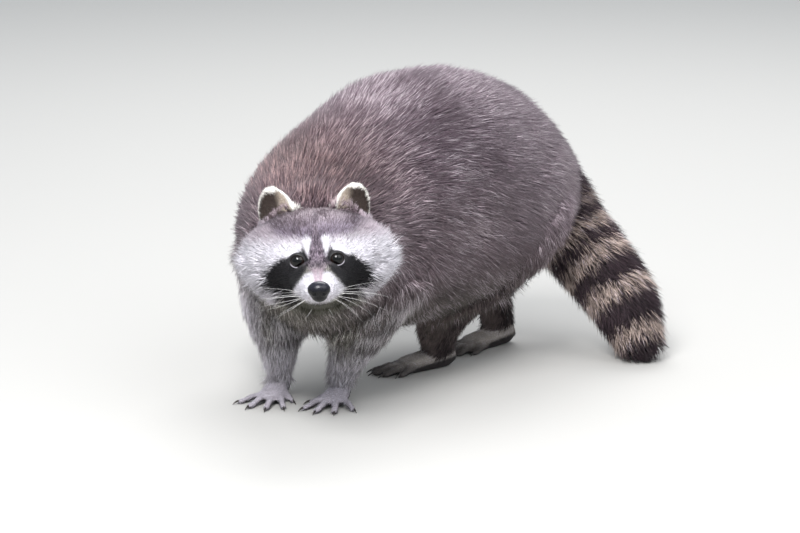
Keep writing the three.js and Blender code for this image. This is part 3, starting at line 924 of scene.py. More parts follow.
def coatColours(points, normals, kinds):
    # shaft and tip colours for points anywhere on the animal
    base, tip = bodyColour(points)
    headPoints = toHead(points)
    for kind in np.unique(kinds):
        chosen = kinds == kind
        if kind == "ear":
            base[chosen], tip[chosen] = earColour(headPoints[chosen], normals[chosen] @ headAxes.T)
        elif kind == "tail":
            base[chosen], tip[chosen] = tailColour(points[chosen])
        elif kind in ("fore_leg", "thigh", "shank"):
            legColour = foreLegColour if kind == "fore_leg" else hindLegColour
            legBase, legTip = legColour(points[chosen], normals[chosen])
            upper = ease(points[chosen, 2], *blendPlan["leg"])
            base[chosen], tip[chosen] = mix(legBase, base[chosen], upper), mix(legTip, tip[chosen], upper)
        elif kind == "foot":
            base[chosen], tip[chosen] = footColour(points[chosen], normals[chosen])
    # the face's colours run out into the neck's, with no edge between them
    ofHead = np.isin(kinds, ["head", "lower_jaw", "eye", "nose", "neck", "trunk"])
    ofHead &= headPoints[:, 1] < blendPlan["head"][1]
    ofHead &= np.linalg.norm(headPoints, axis=1) < blendPlan["headReach"]
    faceBase, faceTip = faceColour(headPoints[ofHead])
    share = 1 - ease(headPoints[ofHead, 1], *blendPlan["head"])
    base[ofHead], tip[ofHead] = mix(base[ofHead], faceBase, share), mix(tip[ofHead], faceTip, share)
    return base, tip


flowPlan = {  # the way that hairs lie: mm in head axes, and shares sideways, back and down
    "headMiddle": (0, 40, -5), "muzzle": (0, -58, -16),
    "sideways": 0.15, "flankDown": 0.75, "flankCurve": 1.5, "bellyDown": 0.6, "belly": (0.07, 0.14),
    "nape": (1, -0.15), "throat": (0.6, -0.8), "throatBelow": 0.16,  # metres above the floor
    "leg": -0.5, "foot": -0.1, "ear": 0.7,
    # the lie is evened where the coat is deeper than this many mm, with rounds at the edge and in all
    "long": 3, "edge": 3, "rounds": 24, "share": 0.6,
}


def flowGuides(points, labels, kinds):
    off = (points[:, 0] - trunkMiddle[0]) / (trunkHigh[0] - trunkMiddle[0])
    down = flowPlan["flankDown"] * np.clip(abs(off), 0, 1) ** flowPlan["flankCurve"]
    down = down + flowPlan["bellyDown"] * (1 - ease(points[:, 2], *flowPlan["belly"]))
    flow = np.stack([flowPlan["sideways"] * off, np.ones(len(points)), -down], axis=1)
    neckWay = unit(trunkMiddle - fromHead(flowPlan["headMiddle"]))
    neck = kinds == "neck"
    throat = neck & (points[:, 2] < flowPlan["throatBelow"])
    for chosen, (share, fall) in ((neck, flowPlan["nape"]), (throat, flowPlan["throat"])):
        flow[chosen] = neckWay * share + [0, 0, fall]
    face = np.isin(kinds, ["head", "lower_jaw", "eye", "nose"])
    flow[face] = unit(points[face] - fromHead(flowPlan["muzzle"]))
    for node in np.unique(labels):
        chosen = labels == node
        if "leg" in node or "shank" in node or "thigh" in node:
            side = "right" if "right" in node else "left"
            foot = middleOf(f"{'fore' if 'fore' in node else 'hind'}_foot_{side}")
            flow[chosen] = unit(foot - points[chosen]) + [0, 0, flowPlan["leg"]]
        elif "foot" in node:
            middleClaws = [middleOf(node.replace("foot", "claw") + f"_{number}") for number in range(2, 5)]
            flow[chosen] = unit(np.mean(middleClaws, axis=0) - middleOf(node)) + [0, 0, flowPlan["foot"]]
        elif "ear" in node:
            sign = 1 if "left" in node else -1
            rise = unit((np.array(earPlan["top"]) - earPlan["foot"]) * [sign, 1, 1]) @ headAxes
            flow[chosen] = rise + headAcross * sign * flowPlan["ear"]
        elif node == "tail":
            best = np.full(chosen.sum(), np.inf)
            for start, end in zip(tailLine, tailLine[1:]):
                away = np.linalg.norm(points[chosen] - (start + end) / 2, axis=1)
                closer = away < best
                best = np.where(closer, away, best)
                rows = np.nonzero(chosen)[0][closer]
                flow[rows] = unit(end - start)
    return unit(flow)


def flatten(vectors, normals):
    # ways laid flat on the surface
    return unit(vectors - normals * (vectors * normals).sum(1, keepdims=True))


def dressSkin(skin, labels, depth):
    mesh = skin.data
    net = Net(mesh)
    points, normals = pointsOf(mesh), normalsOf(mesh)
    kinds = np.array([regionOf(node) for node in labels])
    flow = flatten(flowGuides(points, labels, kinds), normals)
    long = net.spread((depth > flowPlan["long"]).astype(float), flowPlan["edge"])[:, None]
    smooth = flow
    for _ in range(flowPlan["rounds"]):
        smooth = flatten(net.average(smooth) * flowPlan["share"] + smooth * (1 - flowPlan["share"]), normals)
    flow = flatten(smooth * long + flow * (1 - long), normals)
    writeAttribute(mesh, "coatColour", coatColours(points, normals, kinds)[0])
    return {"points": points, "normals": normals, "flow": flow, "depth": depth, "kinds": kinds}


# each tuft is a closed three-sided spindle; for each kind of node: tufts on a square centimetre, reach along
# the body and width in mm, turn at random in degrees, how strongly tufts gather, their height as a share of
# the coat's depth, and how much further stray ones stand off
tuftPlans = {
    "trunk": {"slot": "body_coat", "dense": 54, "reach": 28, "width": 0.92, "turn": 12,
              "gather": 0.24, "lift": 1.0, "stray": 0.2},
    "neck": {"slot": "body_coat", "dense": 60, "reach": 24, "width": 0.9, "turn": 13,
             "gather": 0.26, "lift": 1.0, "stray": 0.35},
    "head": {"slot": "face_coat", "dense": 168, "reach": 0, "width": 0.58, "turn": 12,
             "gather": 0.14, "lift": 1.0, "stray": 0.15},
    "lower_jaw": {"slot": "face_coat", "dense": 130, "reach": 4.5, "width": 0.5, "turn": 12,
                  "gather": 0.1, "lift": 1.0, "stray": 0},
    "ear": {"slot": "ear_coat", "dense": 240, "reach": 5.5, "width": 0.4, "turn": 18,
            "gather": 0.1, "lift": 1.0, "stray": 0.3},
    "fore_leg": {"slot": "leg_coat", "dense": 74, "reach": 19, "width": 0.72, "turn": 14,
                 "gather": 0.3, "lift": 1.35, "stray": 0.9},
    "thigh": {"slot": "thigh_coat", "dense": 60, "reach": 21, "width": 0.9, "turn": 13,
              "gather": 0.3, "lift": 1.2, "stray": 0.5},
    "shank": {"slot": "thigh_coat", "dense": 74, "reach": 13, "width": 0.7, "turn": 14,
              "gather": 0.3, "lift": 1.5, "stray": 0.6},
    "foot": {"slot": "foot_coat", "dense": 95, "reach": 4.2, "width": 0.42, "turn": 16,
             "gather": 0.0, "lift": 1.0, "stray": 0.3},
    "tail": {"slot": "tail_coat", "dense": 52, "reach": 20, "width": 0.9, "turn": 12,
             "gather": 0.22, "lift": 1.15, "stray": 0.3},
}
tuftPlan = {  # shares of a tuft's reach or height, unless a note says otherwise
    "sides": 3, "most": 33000, "patch": 0.003,  # most tufts in one piece, and a tuft's width in its UV map
    "swirl": (7, 0.045, 5), "ripple": (5, 0.016, 6),  # degrees, metres from wave to wave, the draw's number
    "reach": (0.75, 1.15), "reachWave": (0.12, 0.03, 8),
    "height": (0.84, 1.12), "heightWave": (0.06, 0.035, 9),
    "least": 0.5, "leastMore": 0.35, "rare": 4,  # mm that the lowest stand off; higher is fewer strays
    "face": 3.6, "faceDepth": 1.15, "crown": 7,  # mm of reach, more for each mm of depth and on the crown
    "crownHeight": 0.5, "hang": (0.2, 0.9), "hangReach": 0.3,
    "root": 0.4, "floor": 0.0003,  # mm under the skin, and metres above the floor
    "bellyAlong": 0.45, "bellyUp": 0.68, "bellyShade": 0.55, "flat": 0.6,  # a tuft's widest place
    "width": (0.7, 1.25), "seen": (0.3, 1.0),
}
gatherPlan = {"each": 14, "beside": 0.35, "share": (0.3, 1.0)}  # tufts to a leader, and how they follow it
lidClear = {"reach": 16, "past": 9, "angle": 100}  # no roots here round an eye: mm, degrees
shortFur = {"depth": (2, 10), "least": 0.75, "more": 0.9}  # where the face's fur is short it grows denser
soleFacing = -0.25  # feet grow no fur where they face further down than this
crownPlan = {"front": (26, 44), "back": (74, 92), "up": (18, 34), "out": (30, 44)}  # mm in head axes
hangPlan = {"up": (0.085, 0.14), "back": (0.02, 0.1), "belly": 0.35}  # metres, and the belly's share
noisePlan = {"waves": 6, "sizes": (0.7, 1.6), "level": 2.4}  # level evens the sum out to about 1


def smoothNoise(points, size, seed):
    # a gentle random value that changes over about size metres
    waves = np.random.default_rng(seed)
    total = np.zeros(len(points))
    for _ in range(noisePlan["waves"]):
        way = unit(waves.normal(size=3)) * 2 * math.pi / (size * waves.uniform(*noisePlan["sizes"]))
        total += np.sin(points @ way + waves.uniform(0, 2 * math.pi))
    return total / noisePlan["level"]


def plantRoots(field, kind):
    corners, loops = field["corners"], field["loops"]
    chosen = np.nonzero(field["kinds"][corners[:, 0]] == kind)[0]
    spots = field["points"][corners[chosen]]
    area = np.linalg.norm(np.cross(spots[:, 1] - spots[:, 0], spots[:, 2] - spots[:, 0]), axis=1) / 2
    centre = spots.mean(axis=1)
    keep = np.ones(len(chosen))
    if kind == "head":
        headCentre = toHead(centre)
        for side in eyeMiddles:
            radius, angle, lids = eyeAngles(headCentre, side)
            near = (radius < lidClear["reach"]) & (angle < lidClear["angle"])
            keep *= 1 - (near & (angle - lids < lidClear["past"]))
        short = 1 - ease(field["depth"][corners[chosen, 0]], *shortFur["depth"])
        keep *= shortFur["least"] + shortFur["more"] * short
    if kind == "foot":
        keep *= field["normals"][corners[chosen, 0], 2] > soleFacing
    total = np.cumsum(area * keep)
    count = int(total[-1] * 1e4 * tuftPlans[kind]["dense"])  # square metres to square centimetres
    picks = (np.arange(count) + rng.random(count)) * total[-1] / count
    index = chosen[np.searchsorted(total, picks, side="right").clip(0, len(chosen) - 1)]
    first, second = rng.random(count), rng.random(count)
    over = first + second > 1
    first, second = np.where(over, 1 - first, first), np.where(over, 1 - second, second)
    weights = np.stack([1 - first - second, first, second], axis=1)[..., None]
    at = {key: (field[key][corners[index]] * weights).sum(axis=1) for key in ("points", "normals", "flow")}
    at["depth"] = (field["depth"][corners[index]] * weights[..., 0]).sum(axis=1)
    at["uv"] = (field["uv"][loops[index]] * weights).sum(axis=1)
    return at


def crownShare(points):
    # 1 where the head's top meets the neck, 0 elsewhere
    places = toHead(points)
    behind = ease(places[:, 1], *crownPlan["front"]) * (1 - ease(places[:, 1], *crownPlan["back"]))
    return behind * ease(places[:, 2], *crownPlan["up"]) * (1 - ease(abs(places[:, 0]), *crownPlan["out"]))


def hangShare(points):
    # 1 for the shaggy underside of the chest, less along the belly's edge
    low = 1 - ease(points[:, 2], *hangPlan["up"])
    chest = 1 - easeFrom(points[:, 1], trunkLow[1], hangPlan["back"])
    return low * (hangPlan["belly"] + (1 - hangPlan["belly"]) * chest)


def wavy(points, wave):
    # the wave's strength times a gentle value that changes over its size
    strength, size, seed = wave
    return strength * smoothNoise(points, size, seed)


def shapeTufts(at, kind):
    plan = tuftPlans[kind]
    count = len(at["points"])
    normals = unit(at["normals"])
    flow = flatten(at["flow"], normals)
    across = np.cross(normals, flow)
    turn = np.radians(plan["turn"]) * rng.normal(size=count)
    degrees, size, seed = tuftPlan["swirl"]
    deep = at["depth"] / regions["trunk"]["depth"]
    turn += np.radians(degrees) * smoothNoise(at["points"], size, seed) * deep
    degrees, size, seed = tuftPlan["ripple"]
    turn += np.radians(degrees) * smoothNoise(at["points"], size, seed)
    way = flow * np.cos(turn)[:, None] + across * np.sin(turn)[:, None]
    reach = np.full(count, float(plan["reach"]))
    if kind == "head":
        reach = tuftPlan["face"] + at["depth"] * tuftPlan["faceDepth"]
        reach = reach + tuftPlan["crown"] * crownShare(at["points"])
    reach *= rng.uniform(*tuftPlan["reach"], count) * (1 + wavy(at["points"], tuftPlan["reachWave"]))
    height = at["depth"] * rng.uniform(*tuftPlan["height"], count)
    height = height * (1 + wavy(at["points"], tuftPlan["heightWave"]))
    height = np.maximum(height, tuftPlan["least"] + tuftPlan["leastMore"] * rng.random(count))
    height *= plan["lift"] * (1 + plan["stray"] * rng.random(count) ** tuftPlan["rare"])
    if kind == "neck":
        height *= 1 + tuftPlan["crownHeight"] * crownShare(at["points"])
    if kind in ("neck", "trunk"):
        hanging = hangShare(at["points"])
        height *= 1 + hanging * rng.uniform(*tuftPlan["hang"], count)
        reach *= 1 + tuftPlan["hangReach"] * hanging
    root = at["points"] - normals * tuftPlan["root"] * mm
    along = way * (reach * tuftPlan["bellyAlong"] * mm)[:, None]
    middle = root + along + normals * (height * tuftPlan["bellyUp"] * mm)[:, None]
    tip = root + way * (reach * mm)[:, None] + normals * (height * mm)[:, None]
    if plan["gather"]:
        tip = gatherTips(at["points"], tip, plan["gather"])
    return {"root": root, "middle": middle, "tip": tip, "normals": normals, "way": way}


def gatherTips(roots, tips, strength):
    # tips lean towards the tip of a leader nearby, as hairs clump
    leaders = rng.permutation(len(roots))[: max(1, int(len(roots) / gatherPlan["each"]))]
    near = KDTree(len(leaders))
    for place, index in enumerate(leaders):
        near.insert(Vector(roots[index]), place)
    near.balance()
    chosen = np.array([near.find(Vector(root))[1] for root in roots])
    lead = tips[leaders][chosen] + (roots - roots[leaders][chosen]) * gatherPlan["beside"]
    share = strength * rng.uniform(*gatherPlan["share"], len(roots))
    return tips + (lead - tips) * share[:, None]


def tuftPoints(tufts):
    # a root, a ring round the widest place and a tip for each tuft
    sides = tuftPlan["sides"]
    across = unit(np.cross(tufts["way"], tufts["normals"]))
    points = np.empty((len(across), sides + 2, 3))
    points[:, 0], points[:, -1] = tufts["root"], tufts["tip"]
    for k in range(sides):
        turn = 2 * math.pi * k / sides + math.pi / 2
        offset = across * math.cos(turn) + tufts["normals"] * math.sin(turn) * tuftPlan["flat"]
        points[:, 1 + k] = tufts["middle"] + offset * (tufts["width"] * mm / 2)[:, None]
    points[:, :, 2] = np.maximum(points[:, :, 2], tuftPlan["floor"])
    return points


def tuftMesh(name, tufts):
    sides = tuftPlan["sides"]
    points = tuftPoints(tufts)
    count = len(points)
    top = sides + 1
    faces, spots = [], []
    for k in range(sides):
        left, right = 1 + k, 1 + (k + 1) % sides
        faces += [[0, left, right], [right, left, top]]
        start, half, end = (k / sides, 0.5), (k + 0.5) / sides, ((k + 1) / sides, 0.5)
        spots += [(half, 0), start, end, end, start, (half, 1)]
    loops = np.concatenate(faces)
    spots = np.array(spots) - 0.5
    mesh = bpy.data.meshes.new(name)
    mesh.vertices.add(count * (top + 1))
    mesh.vertices.foreach_set("co", points.astype(np.float32).ravel())
    allLoops = (loops[None, :] + np.arange(count)[:, None] * (top + 1)).ravel()
    mesh.loops.add(len(allLoops))
    mesh.loops.foreach_set("vertex_index", allLoops.astype(np.int32))
    starts = np.arange(count * len(faces)) * 3
    mesh.polygons.add(len(starts))
    mesh.polygons.foreach_set("loop_start", starts.astype(np.int32))
    mesh.update(calc_edges=True)
    layer = mesh.uv_layers.new(name="OFBake")
    uv = tufts["uv"][:, None, :] + spots[None] * tuftPlan["patch"]
    layer.data.foreach_set("uv", np.clip(uv, 0, 1).astype(np.float32).ravel())
    writeAttribute(mesh, "coatColour", np.repeat(tufts["base"], top + 1, axis=0))
    writeAttribute(mesh, "tipColour", np.repeat(tufts["tipColour"], top + 1, axis=0))
    writeAttribute(mesh, "shade", np.repeat(tufts["shade"], top + 1))
    writeAttribute(mesh, "along", np.tile([0] + [tuftPlan["bellyShade"]] * sides + [1], count))
    mesh.shade_smooth()
    return mesh


def addCoat(skin, field):
    skin.data.calc_loop_triangles()
    field["corners"] = readAll(skin.data.loop_triangles, "vertices", 3, int)
    field["loops"] = readAll(skin.data.loop_triangles, "loops", 3, int)
    field["uv"] = readAll(skin.data.uv_layers["OFBake"].data, "uv", 2)
    materials = {}
    total = 0
    for kind, plan in tuftPlans.items():
        at = plantRoots(field, kind)
        tufts = shapeTufts(at, kind)
        root = tufts["root"]
        count = len(root)
        seen = root + (tufts["tip"] - root) * rng.uniform(*tuftPlan["seen"], (count, 1))
        tufts["base"], tufts["tipColour"] = coatColours(seen, tufts["normals"], np.full(count, kind))
        tufts["width"] = plan["width"] * rng.uniform(*tuftPlan["width"], count)
        tufts["shade"] = rng.random(count)
        tufts["uv"] = at["uv"]
        order = np.argsort(root[:, 1], kind="stable")
        parts = max(1, math.ceil(count / tuftPlan["most"]))
        slot = plan["slot"]
        if slot not in materials:
            materials[slot] = makeCoatMaterial(slot)
        for number, rows in enumerate(np.array_split(order, parts), 1):
            name = f"coat_{kind}" + (f"_{number}" if parts > 1 else "")
            mesh = tuftMesh(name, {key: value[rows] for key, value in tufts.items()})
            finishPiece(meshObject(name, mesh, materials[slot]), slot)
        total += count
        report(f"{kind} coat: {count} tufts in {parts} pieces")
    report(f"{total} tufts in all")


irisPlan = {  # places are shares of a quarter turn from the gaze
    "pupil": 0.42, "pupilEdge": (-0.03, 0.02), "edge": 0.82, "edgeSoft": (-0.25, -0.05),
    "brown": paint(26, 16, 13), "shades": (0.6, 1.5), "dark": paint(8, 7, 7), "black": (0.001, 0.001, 0.001),
    "fibres": 1800.0, "detail": 3.0, "roughness": (0.01, 0.03),
    "look": {"Specular IOR Level": 0.55, "IOR": 1.38},
}
lidPlan = {  # the section is degrees past the opening and mm from the eyeball's middle
    "steps": 96, "rounding": 1,  # places round the eye, and how often the edges are rounded off
    "section": [(-2.5, 8.05), (-1.5, 8.7), (1.5, 9.15), (6, 9.25), (11, 8.9), (12, 8.3), (2, 7.9)],
    # the pale line low on the lids is a painted reflection of the sky on the wet lower lid
    "dark": paint(19, 16, 19), "pale": paint(168, 162, 172), "below": (0.15, 0.45), "line": (0.5, 1.8),
    "finish": {"scale": 1200.0, "contrast": 0.3, "roughness": 0.4, "bump": 0.0002, "reads": "lidColour"},
}


def eyePoint(side, angle, turn, radius):
    # a place near an eye: its angle from the gaze, its turn from outward to up, and mm from the middle
    gaze, outward, rise = eyeFrame(side)
    way = gaze * math.cos(angle) + (outward * math.cos(turn) + rise * math.sin(turn)) * math.sin(angle)
    return fromHead(toHead(eyeMiddles[side]) + way * radius)


def ringMesh(name, rings, closed):
    # joins rings of points; closed joins the last ring to the first, otherwise both ends close on a point
    count = len(rings[0])
    points = [tuple(p) for ring in rings for p in ring]
    faces = []
    for k in range(len(rings) if closed else len(rings) - 1):
        a, b = k * count, (k + 1) % len(rings) * count
        faces += [(a + i, a + (i + 1) % count, b + (i + 1) % count, b + i) for i in range(count)]
    mesh = bpy.data.meshes.new(name)
    mesh.from_pydata(points, [], faces)
    shape = bmesh.new()
    shape.from_mesh(mesh)
    bmesh.ops.remove_doubles(shape, verts=shape.verts, dist=1e-7)
    bmesh.ops.holes_fill(shape, edges=[edge for edge in shape.edges if edge.is_boundary])
    bmesh.ops.recalc_face_normals(shape, faces=shape.faces)
    shape.to_mesh(mesh)
    shape.free()
    mesh.shade_smooth()
    return mesh


def addEye(side, material):
    steps, around = eyePlan["steps"], eyePlan["around"]
    rings = []
    for k in range(1, steps):
        angle = math.pi * k / steps
        radius = eyePlan["radius"] + eyePlan["cornea"] * math.exp(-((angle / eyePlan["corneaTurn"]) ** 4))
        rings.append([eyePoint(side, angle, 2 * math.pi * i / around, radius) for i in range(around)])
    mesh = ringMesh(f"eyeball_{side}", rings, False)
    _, angle, _ = eyeAngles(toHead(pointsOf(mesh)), side)
    writeAttribute(mesh, "gaze", angle / 90)
    finishPiece(meshObject(f"eyeball_{side}", mesh, material), "eye", f"eye_{side}")


def makeEyeMaterial():
    material, tree, shader = newMaterial("wetEye", **irisPlan["look"])
    gaze = put(tree, "ShaderNodeAttribute", attribute_name="gaze").outputs["Fac"]
    settings = {"Vector": put(tree, "ShaderNodeTexCoord").outputs["Object"],
                "Scale": irisPlan["fibres"], "Detail": irisPlan["detail"]}
    fibres = put(tree, "ShaderNodeTexNoise", settings).outputs["Fac"]
    darker, lighter = ((*(irisPlan["brown"] * shade), 1) for shade in irisPlan["shades"])
    brown = blendColours(tree, fibres, darker, lighter)
    edges = [irisPlan["pupil"] + step for step in irisPlan["pupilEdge"]]
    iris = blendColours(tree, mapped(tree, gaze, *edges, 0.0, 1.0), (*irisPlan["black"], 1), brown)
    edges = [irisPlan["edge"] + step for step in irisPlan["edgeSoft"]]
    ringed = blendColours(tree, mapped(tree, gaze, *edges, 0.0, 1.0), iris, (*irisPlan["dark"], 1))
    tree.links.new(ringed, shader.inputs["Base Color"])
    rough = mapped(tree, fibres, 0.0, 1.0, *irisPlan["roughness"])
    tree.links.new(rough, shader.inputs["Roughness"])
    return material


def addLids(side, material):
    rings = []
    for i in range(lidPlan["steps"]):
        turn = 2 * math.pi * i / lidPlan["steps"]
        opening = float(lidAngle(np.array(turn)))
        rings.append([eyePoint(side, math.radians(opening + past), turn, radius)
                      for past, radius in lidPlan["section"]])
    item = meshObject(f"lids_{side}", ringMesh(f"lids_{side}", rings, True), material)
    roundOff(item, lidPlan["rounding"])
    points = toHead(pointsOf(item.data))
    _, angle, lids = eyeAngles(points, side)
    _, _, rise = eyeFrame(side)
    # painted reflection: a pale bluish line along the lower lid's wet edge
    below = ease(-unit(points - toHead(eyeMiddles[side])) @ rise, *lidPlan["below"])
    past, wide = lidPlan["line"]
    pale = below * np.exp(-(((angle - lids - past) / wide) ** 2))
    writeAttribute(item.data, "lidColour", mix(lidPlan["dark"], lidPlan["pale"], pale))
    finishPiece(item, "face_coat")


nosePlan = {  # mm, places in head axes on the left side
    "voxel": 0.55, "rounds": 36, "fill": 1.0,  # mm across, smoothing, and mm put back after it
    "nostril": (4.6, -59, -20), "stretch": (1.0, 2.2, 0.85), "pit": 2.1, "pitDepth": 2.4,
    "slit": [(4.4, -58.5, -19.6), (8.5, -56, -22.5), (10.5, -52, -23.5)], "slitWide": 0.8, "slitDepth": 1.1,
    "rim": 0.35, "rimAt": 3.1, "rimWide": 0.9,
    "groove": 0.6, "grooveWide": 0.6, "front": (50, 56), "down": (17, 20), "top": (-19, -11),
    # the top's bluish tone is a painted sky reflection, and the nostrils' near-black is painted shade in the
    # pits
    "black": paint(10, 9, 11), "upper": paint(30, 30, 40), "inside": paint(5, 4, 5),
    "finish": {"scale": 1500.0, "contrast": 0.3, "roughness": 0.26, "bump": 0.0001, "reads": "noseColour",
               "look": {"Specular IOR Level": 0.26, "Coat Weight": 0.08, "Coat Roughness": 0.1}},
}


def copyMerged(node, name):
    shape = bmesh.new()
    shape.from_mesh(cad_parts[node].data)
    bmesh.ops.remove_doubles(shape, verts=shape.verts, dist=mergeReach)
    mesh = bpy.data.meshes.new(name)
    shape.to_mesh(mesh)
    shape.free()
    return meshObject(name, mesh)


def addNose():
    item = copyMerged("nose", "nosePad")
    remeshEvenly(item, nosePlan["voxel"])
    net = Net(item.data)
    points = pointsOf(item.data)
    for _ in range(nosePlan["rounds"]):
        points += (net.average(points) - points) * evening
    movePoints(item.data, points)
    points += normalsOf(item.data) * nosePlan["fill"] * mm
    movePoints(item.data, points)
    points = toHead(points)
    normals = normalsOf(item.data) @ headAxes.T
    places = mirrored(points)
    away = np.linalg.norm((places - nosePlan["nostril"]) / nosePlan["stretch"], axis=1)
    fromSlit, _ = lineDistance(places, nosePlan["slit"])
    pit = np.exp(-((away / nosePlan["pit"]) ** 4))
    slit = np.exp(-((fromSlit / nosePlan["slitWide"]) ** 2))
    rim = np.exp(-(((away - nosePlan["rimAt"]) / nosePlan["rimWide"]) ** 2))
    front = ease(-points[:, 1], *nosePlan["front"]) * ease(-points[:, 2], *nosePlan["down"])
    groove = nosePlan["groove"] * np.exp(-((points[:, 0] / nosePlan["grooveWide"]) ** 2)) * front
    lift = -nosePlan["pitDepth"] * pit - nosePlan["slitDepth"] * slit + nosePlan["rim"] * rim - groove
    movePoints(item.data, fromHead(points + normals * lift[:, None]))
    item.data.shade_smooth()
    # painted reflection: the top of the nose is lighter and bluish, as the sky's gleam on the wet skin
    colour = mix(nosePlan["black"], nosePlan["upper"], ease(points[:, 2], *nosePlan["top"]))
    # painted shade: the nostril pits and slits are painted near-black
    writeAttribute(item.data, "noseColour", mix(colour, nosePlan["inside"], np.maximum(pit, slit)))
    coverIn(item.data, makeGrainMaterial("wetNose", nosePlan["finish"]))
    finishPiece(item, "nose", "nose")


clawPlan = {
    "rounding": 2,  # how often the edges are rounded off
    "finish": {"scale": 900.0, "contrast": 0.5, "roughness": 0.35, "bump": 0.0001,
               "colour": paint(52, 44, 40), "look": {"Coat Weight": 0.2}},
}


def addClaws():
    material = makeGrainMaterial("hornClaw", clawPlan["finish"])
    for node in [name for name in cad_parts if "claw" in name]:
        item = copyMerged(node, "horn" + node[0].upper() + node[1:])
        roundOff(item, clawPlan["rounding"])
        coverIn(item.data, material)
        item.data.shade_smooth()
        finishPiece(item, "claw", node)


whiskerPlan = {
    "thick": 0.3, "taper": 0.12,  # mm at the root, and the share of it left at the tip
    "bend": 0.2, "vary": (0.85, 1.0),  # the tip's drop as a share of the reach, and how the reach varies
    "steps": 14, "sides": 5, "seed": 3,
    "dark": paint(225, 222, 222), "pale": paint(250, 248, 246), "roughness": 0.35, "patches": 120.0,
}
# roots on the left lip in head axes, and the way and reach of each whisker, mm
whiskers = [
    ((11, -42, -22), (0.86, 0.3, 0.12), 46), ((13, -40, -25), (0.9, 0.36, 0.02), 58),
    ((15, -38, -22), (0.86, 0.4, 0.2), 52), ((15, -37, -27), (0.86, 0.42, -0.22), 64),
    ((17, -35, -24), (0.86, 0.45, -0.06), 62), ((17, -34, -28), (0.8, 0.44, -0.42), 58),
    ((12, -43, -27), (0.75, 0.15, -0.4), 36), ((19, -31, -26), (0.8, 0.5, -0.14), 50),
    ((14, -39, -29), (0.82, 0.3, -0.6), 44), ((20, -6, 12), (0.35, -0.2, 0.85), 18),
    ((24, -3, 12), (0.5, -0.15, 0.75), 15), ((8, -40, -38), (0.5, 0.1, -0.8), 14),
]


def makeWhiskerTree():
    # one tapering, bending stem, set on every point along its "way" and as long as its "reach"
    tree = bpy.data.node_groups.new("whiskerStem", "GeometryNodeTree")
    inputs = {"Geometry": "Geometry", "Reach": "Float", "Bend": "Float", "Thickness": "Float",
              "Steps": "Int", "Sides": "Int", "Seed": "Int", "Material": "Material"}
    sockets = {}
    for label, kind in inputs.items():
        socket = tree.interface.new_socket(label, in_out="INPUT", socket_type=f"NodeSocket{kind}")
        sockets[label] = socket.identifier
    tree.interface.new_socket("Geometry", in_out="OUTPUT", socket_type="NodeSocketGeometry")
    given = tree.nodes.new("NodeGroupInput").outputs
    out = tree.nodes.new("NodeGroupOutput")
    stem = put(tree, "GeometryNodeCurveQuadraticBezier", {"Resolution": given["Steps"]})
    half = math2(tree, "MULTIPLY", given["Reach"], 0.5)
    drop = math2(tree, "MULTIPLY", given["Reach"], given["Bend"])
    fall = math2(tree, "MULTIPLY", drop, -1.0)
    stem.inputs["Start"].default_value = (0, 0, 0)
    tree.links.new(put(tree, "ShaderNodeCombineXYZ", {"X": half}).outputs[0], stem.inputs["Middle"])
    end = put(tree, "ShaderNodeCombineXYZ", {"X": given["Reach"], "Z": fall}).outputs[0]
    tree.links.new(end, stem.inputs["End"])
    along = put(tree, "GeometryNodeSplineParameter").outputs["Factor"]
    shares = {"Value": along, "To Min": 1.0, "To Max": whiskerPlan["taper"]}
    thick = math2(tree, "MULTIPLY", put(tree, "ShaderNodeMapRange", shares).outputs[0], given["Thickness"])
    ring = put(tree, "GeometryNodeCurvePrimitiveCircle", {"Resolution": given["Sides"], "Radius": 0.5})
    tube = {"Curve": stem.outputs[0], "Profile Curve": ring.outputs[0], "Scale": thick, "Fill Caps": True}
    solid = put(tree, "GeometryNodeCurveToMesh", tube)
    vary = put(tree, "FunctionNodeRandomValue", {"Seed": given["Seed"]}, data_type="FLOAT")
    vary.inputs[2].default_value, vary.inputs[3].default_value = whiskerPlan["vary"]
    ways = put(tree, "GeometryNodeInputNamedAttribute", {"Name": "way"}, data_type="FLOAT_VECTOR").outputs[0]
    reach = put(tree, "GeometryNodeInputNamedAttribute", {"Name": "reach"}, data_type="FLOAT").outputs[0]
    size = math2(tree, "MULTIPLY", reach, vary.outputs[1])
    turned = put(tree, "FunctionNodeAlignRotationToVector", {"Vector": ways}, axis="X", pivot_axis="AUTO")
    dots = put(tree, "GeometryNodeMeshToPoints", {"Mesh": given["Geometry"]})
    scale = put(tree, "ShaderNodeCombineXYZ", {"X": size, "Y": 1.0, "Z": size}).outputs[0]
    copies = {"Points": dots.outputs[0], "Instance": solid.outputs[0], "Rotation": turned.outputs[0],
              "Scale": scale}
    placed = put(tree, "GeometryNodeInstanceOnPoints", copies)
    real = put(tree, "GeometryNodeRealizeInstances", {"Geometry": placed.outputs[0]})
    cover = {"Geometry": real.outputs[0], "Material": given["Material"]}
    tree.links.new(put(tree, "GeometryNodeSetMaterial", cover).outputs[0], out.inputs[0])
    return tree, sockets


def makeWhiskerMaterial():
    material, tree, shader = newMaterial("whiskerHair", **{"Roughness": whiskerPlan["roughness"]})
    place = put(tree, "ShaderNodeTexCoord").outputs["Object"]
    noise = put(tree, "ShaderNodeTexNoise", {"Vector": place, "Scale": whiskerPlan["patches"]})
    tones = ((*whiskerPlan[shade], 1) for shade in ("dark", "pale"))
    colour = blendColours(tree, noise.outputs["Fac"], *tones)
    tree.links.new(colour, shader.inputs["Base Color"])
    return material


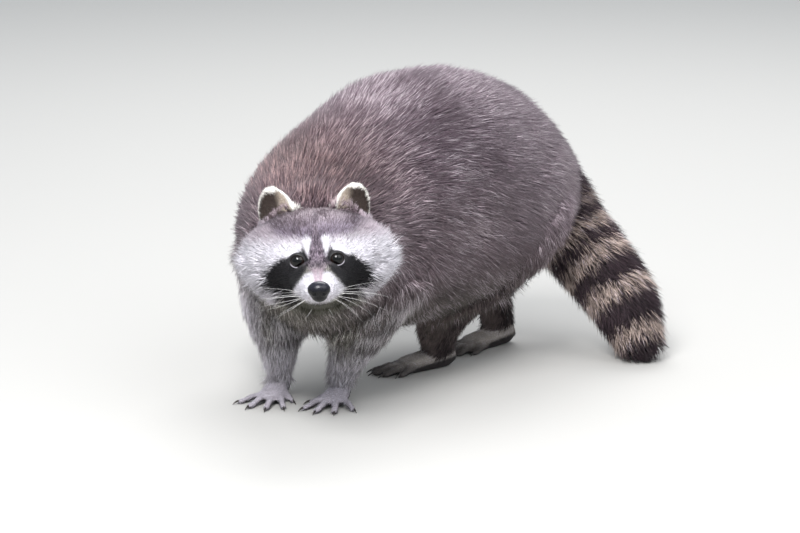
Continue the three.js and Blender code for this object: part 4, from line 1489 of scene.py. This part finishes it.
def addWhiskers():
    tree, sockets = makeWhiskerTree()
    rows = [(np.array(root) * [sign, 1, 1], np.array(way) * [sign, 1, 1], reach)
            for sign in (1, -1) for root, way, reach in whiskers]
    longest = max(reach for root, way, reach in rows)
    mesh = bpy.data.meshes.new("whiskers")
    mesh.from_pydata([tuple(fromHead(root)) for root, way, reach in rows], [], [])
    ways = np.array([unit(way) @ headAxes for root, way, reach in rows], np.float32)
    mesh.attributes.new("way", "FLOAT_VECTOR", "POINT").data.foreach_set("vector", ways.ravel())
    reaches = np.array([reach for root, way, reach in rows], np.float32) / longest
    writeAttribute(mesh, "reach", reaches)
    item = meshObject("whiskers", mesh)
    nodes = item.modifiers.new("stems", "NODES")
    nodes.node_group = tree
    values = {"Reach": longest * mm, "Thickness": whiskerPlan["thick"] * mm,
              "Material": makeWhiskerMaterial()}
    values |= {label: whiskerPlan[label.lower()] for label in ("Bend", "Steps", "Sides", "Seed")}
    for label, value in values.items():
        nodes[sockets[label]] = value
    settle(item)
    finishPiece(item, "face_coat")


def addFloor():
    half = floorPlan["half"]
    mesh = bpy.data.meshes.new("floor")
    corners = [(-half, -half, 0), (half, -half, 0), (half, half, 0), (-half, half, 0)]
    mesh.from_pydata(corners, [], [(0, 1, 2, 3)])
    material, _, shader = newMaterial("paleFloor", **{"Roughness": floorPlan["roughness"]})
    shader.inputs["Base Color"].default_value = (*floorPlan["colour"], 1)
    meshObject("floor", mesh, material)


def addSkin():
    skin, tree, faceNodes = makeRawSkin()
    report(f"raw skin: {len(skin.data.polygons)} faces")
    refineFace(skin.data)
    labels, depth = sinkSkin(skin.data, tree, faceNodes)
    shapeFace(skin.data)
    unwrapSkin(skin)
    field = dressSkin(skin, labels, depth)
    coverIn(skin.data, makeGrainMaterial("shortFur", skinPlan["finish"]))
    skin.data.shade_smooth()
    finishPiece(skin, "body_coat", *fleshNodes)
    report(f"skin: {len(skin.data.polygons)} faces")
    return skin, field


addCamera()
addLights()
addFloor()
report("stage is set")
skin, field = addSkin()
addCoat(skin, field)
eyeMaterial = makeEyeMaterial()
lidMaterial = makeGrainMaterial("lidSkin", lidPlan["finish"])
for side in eyeMiddles:
    addEye(side, eyeMaterial)
    addLids(side, lidMaterial)
addNose()
addClaws()
addWhiskers()
report("eyes, nose, claws and whiskers are in")
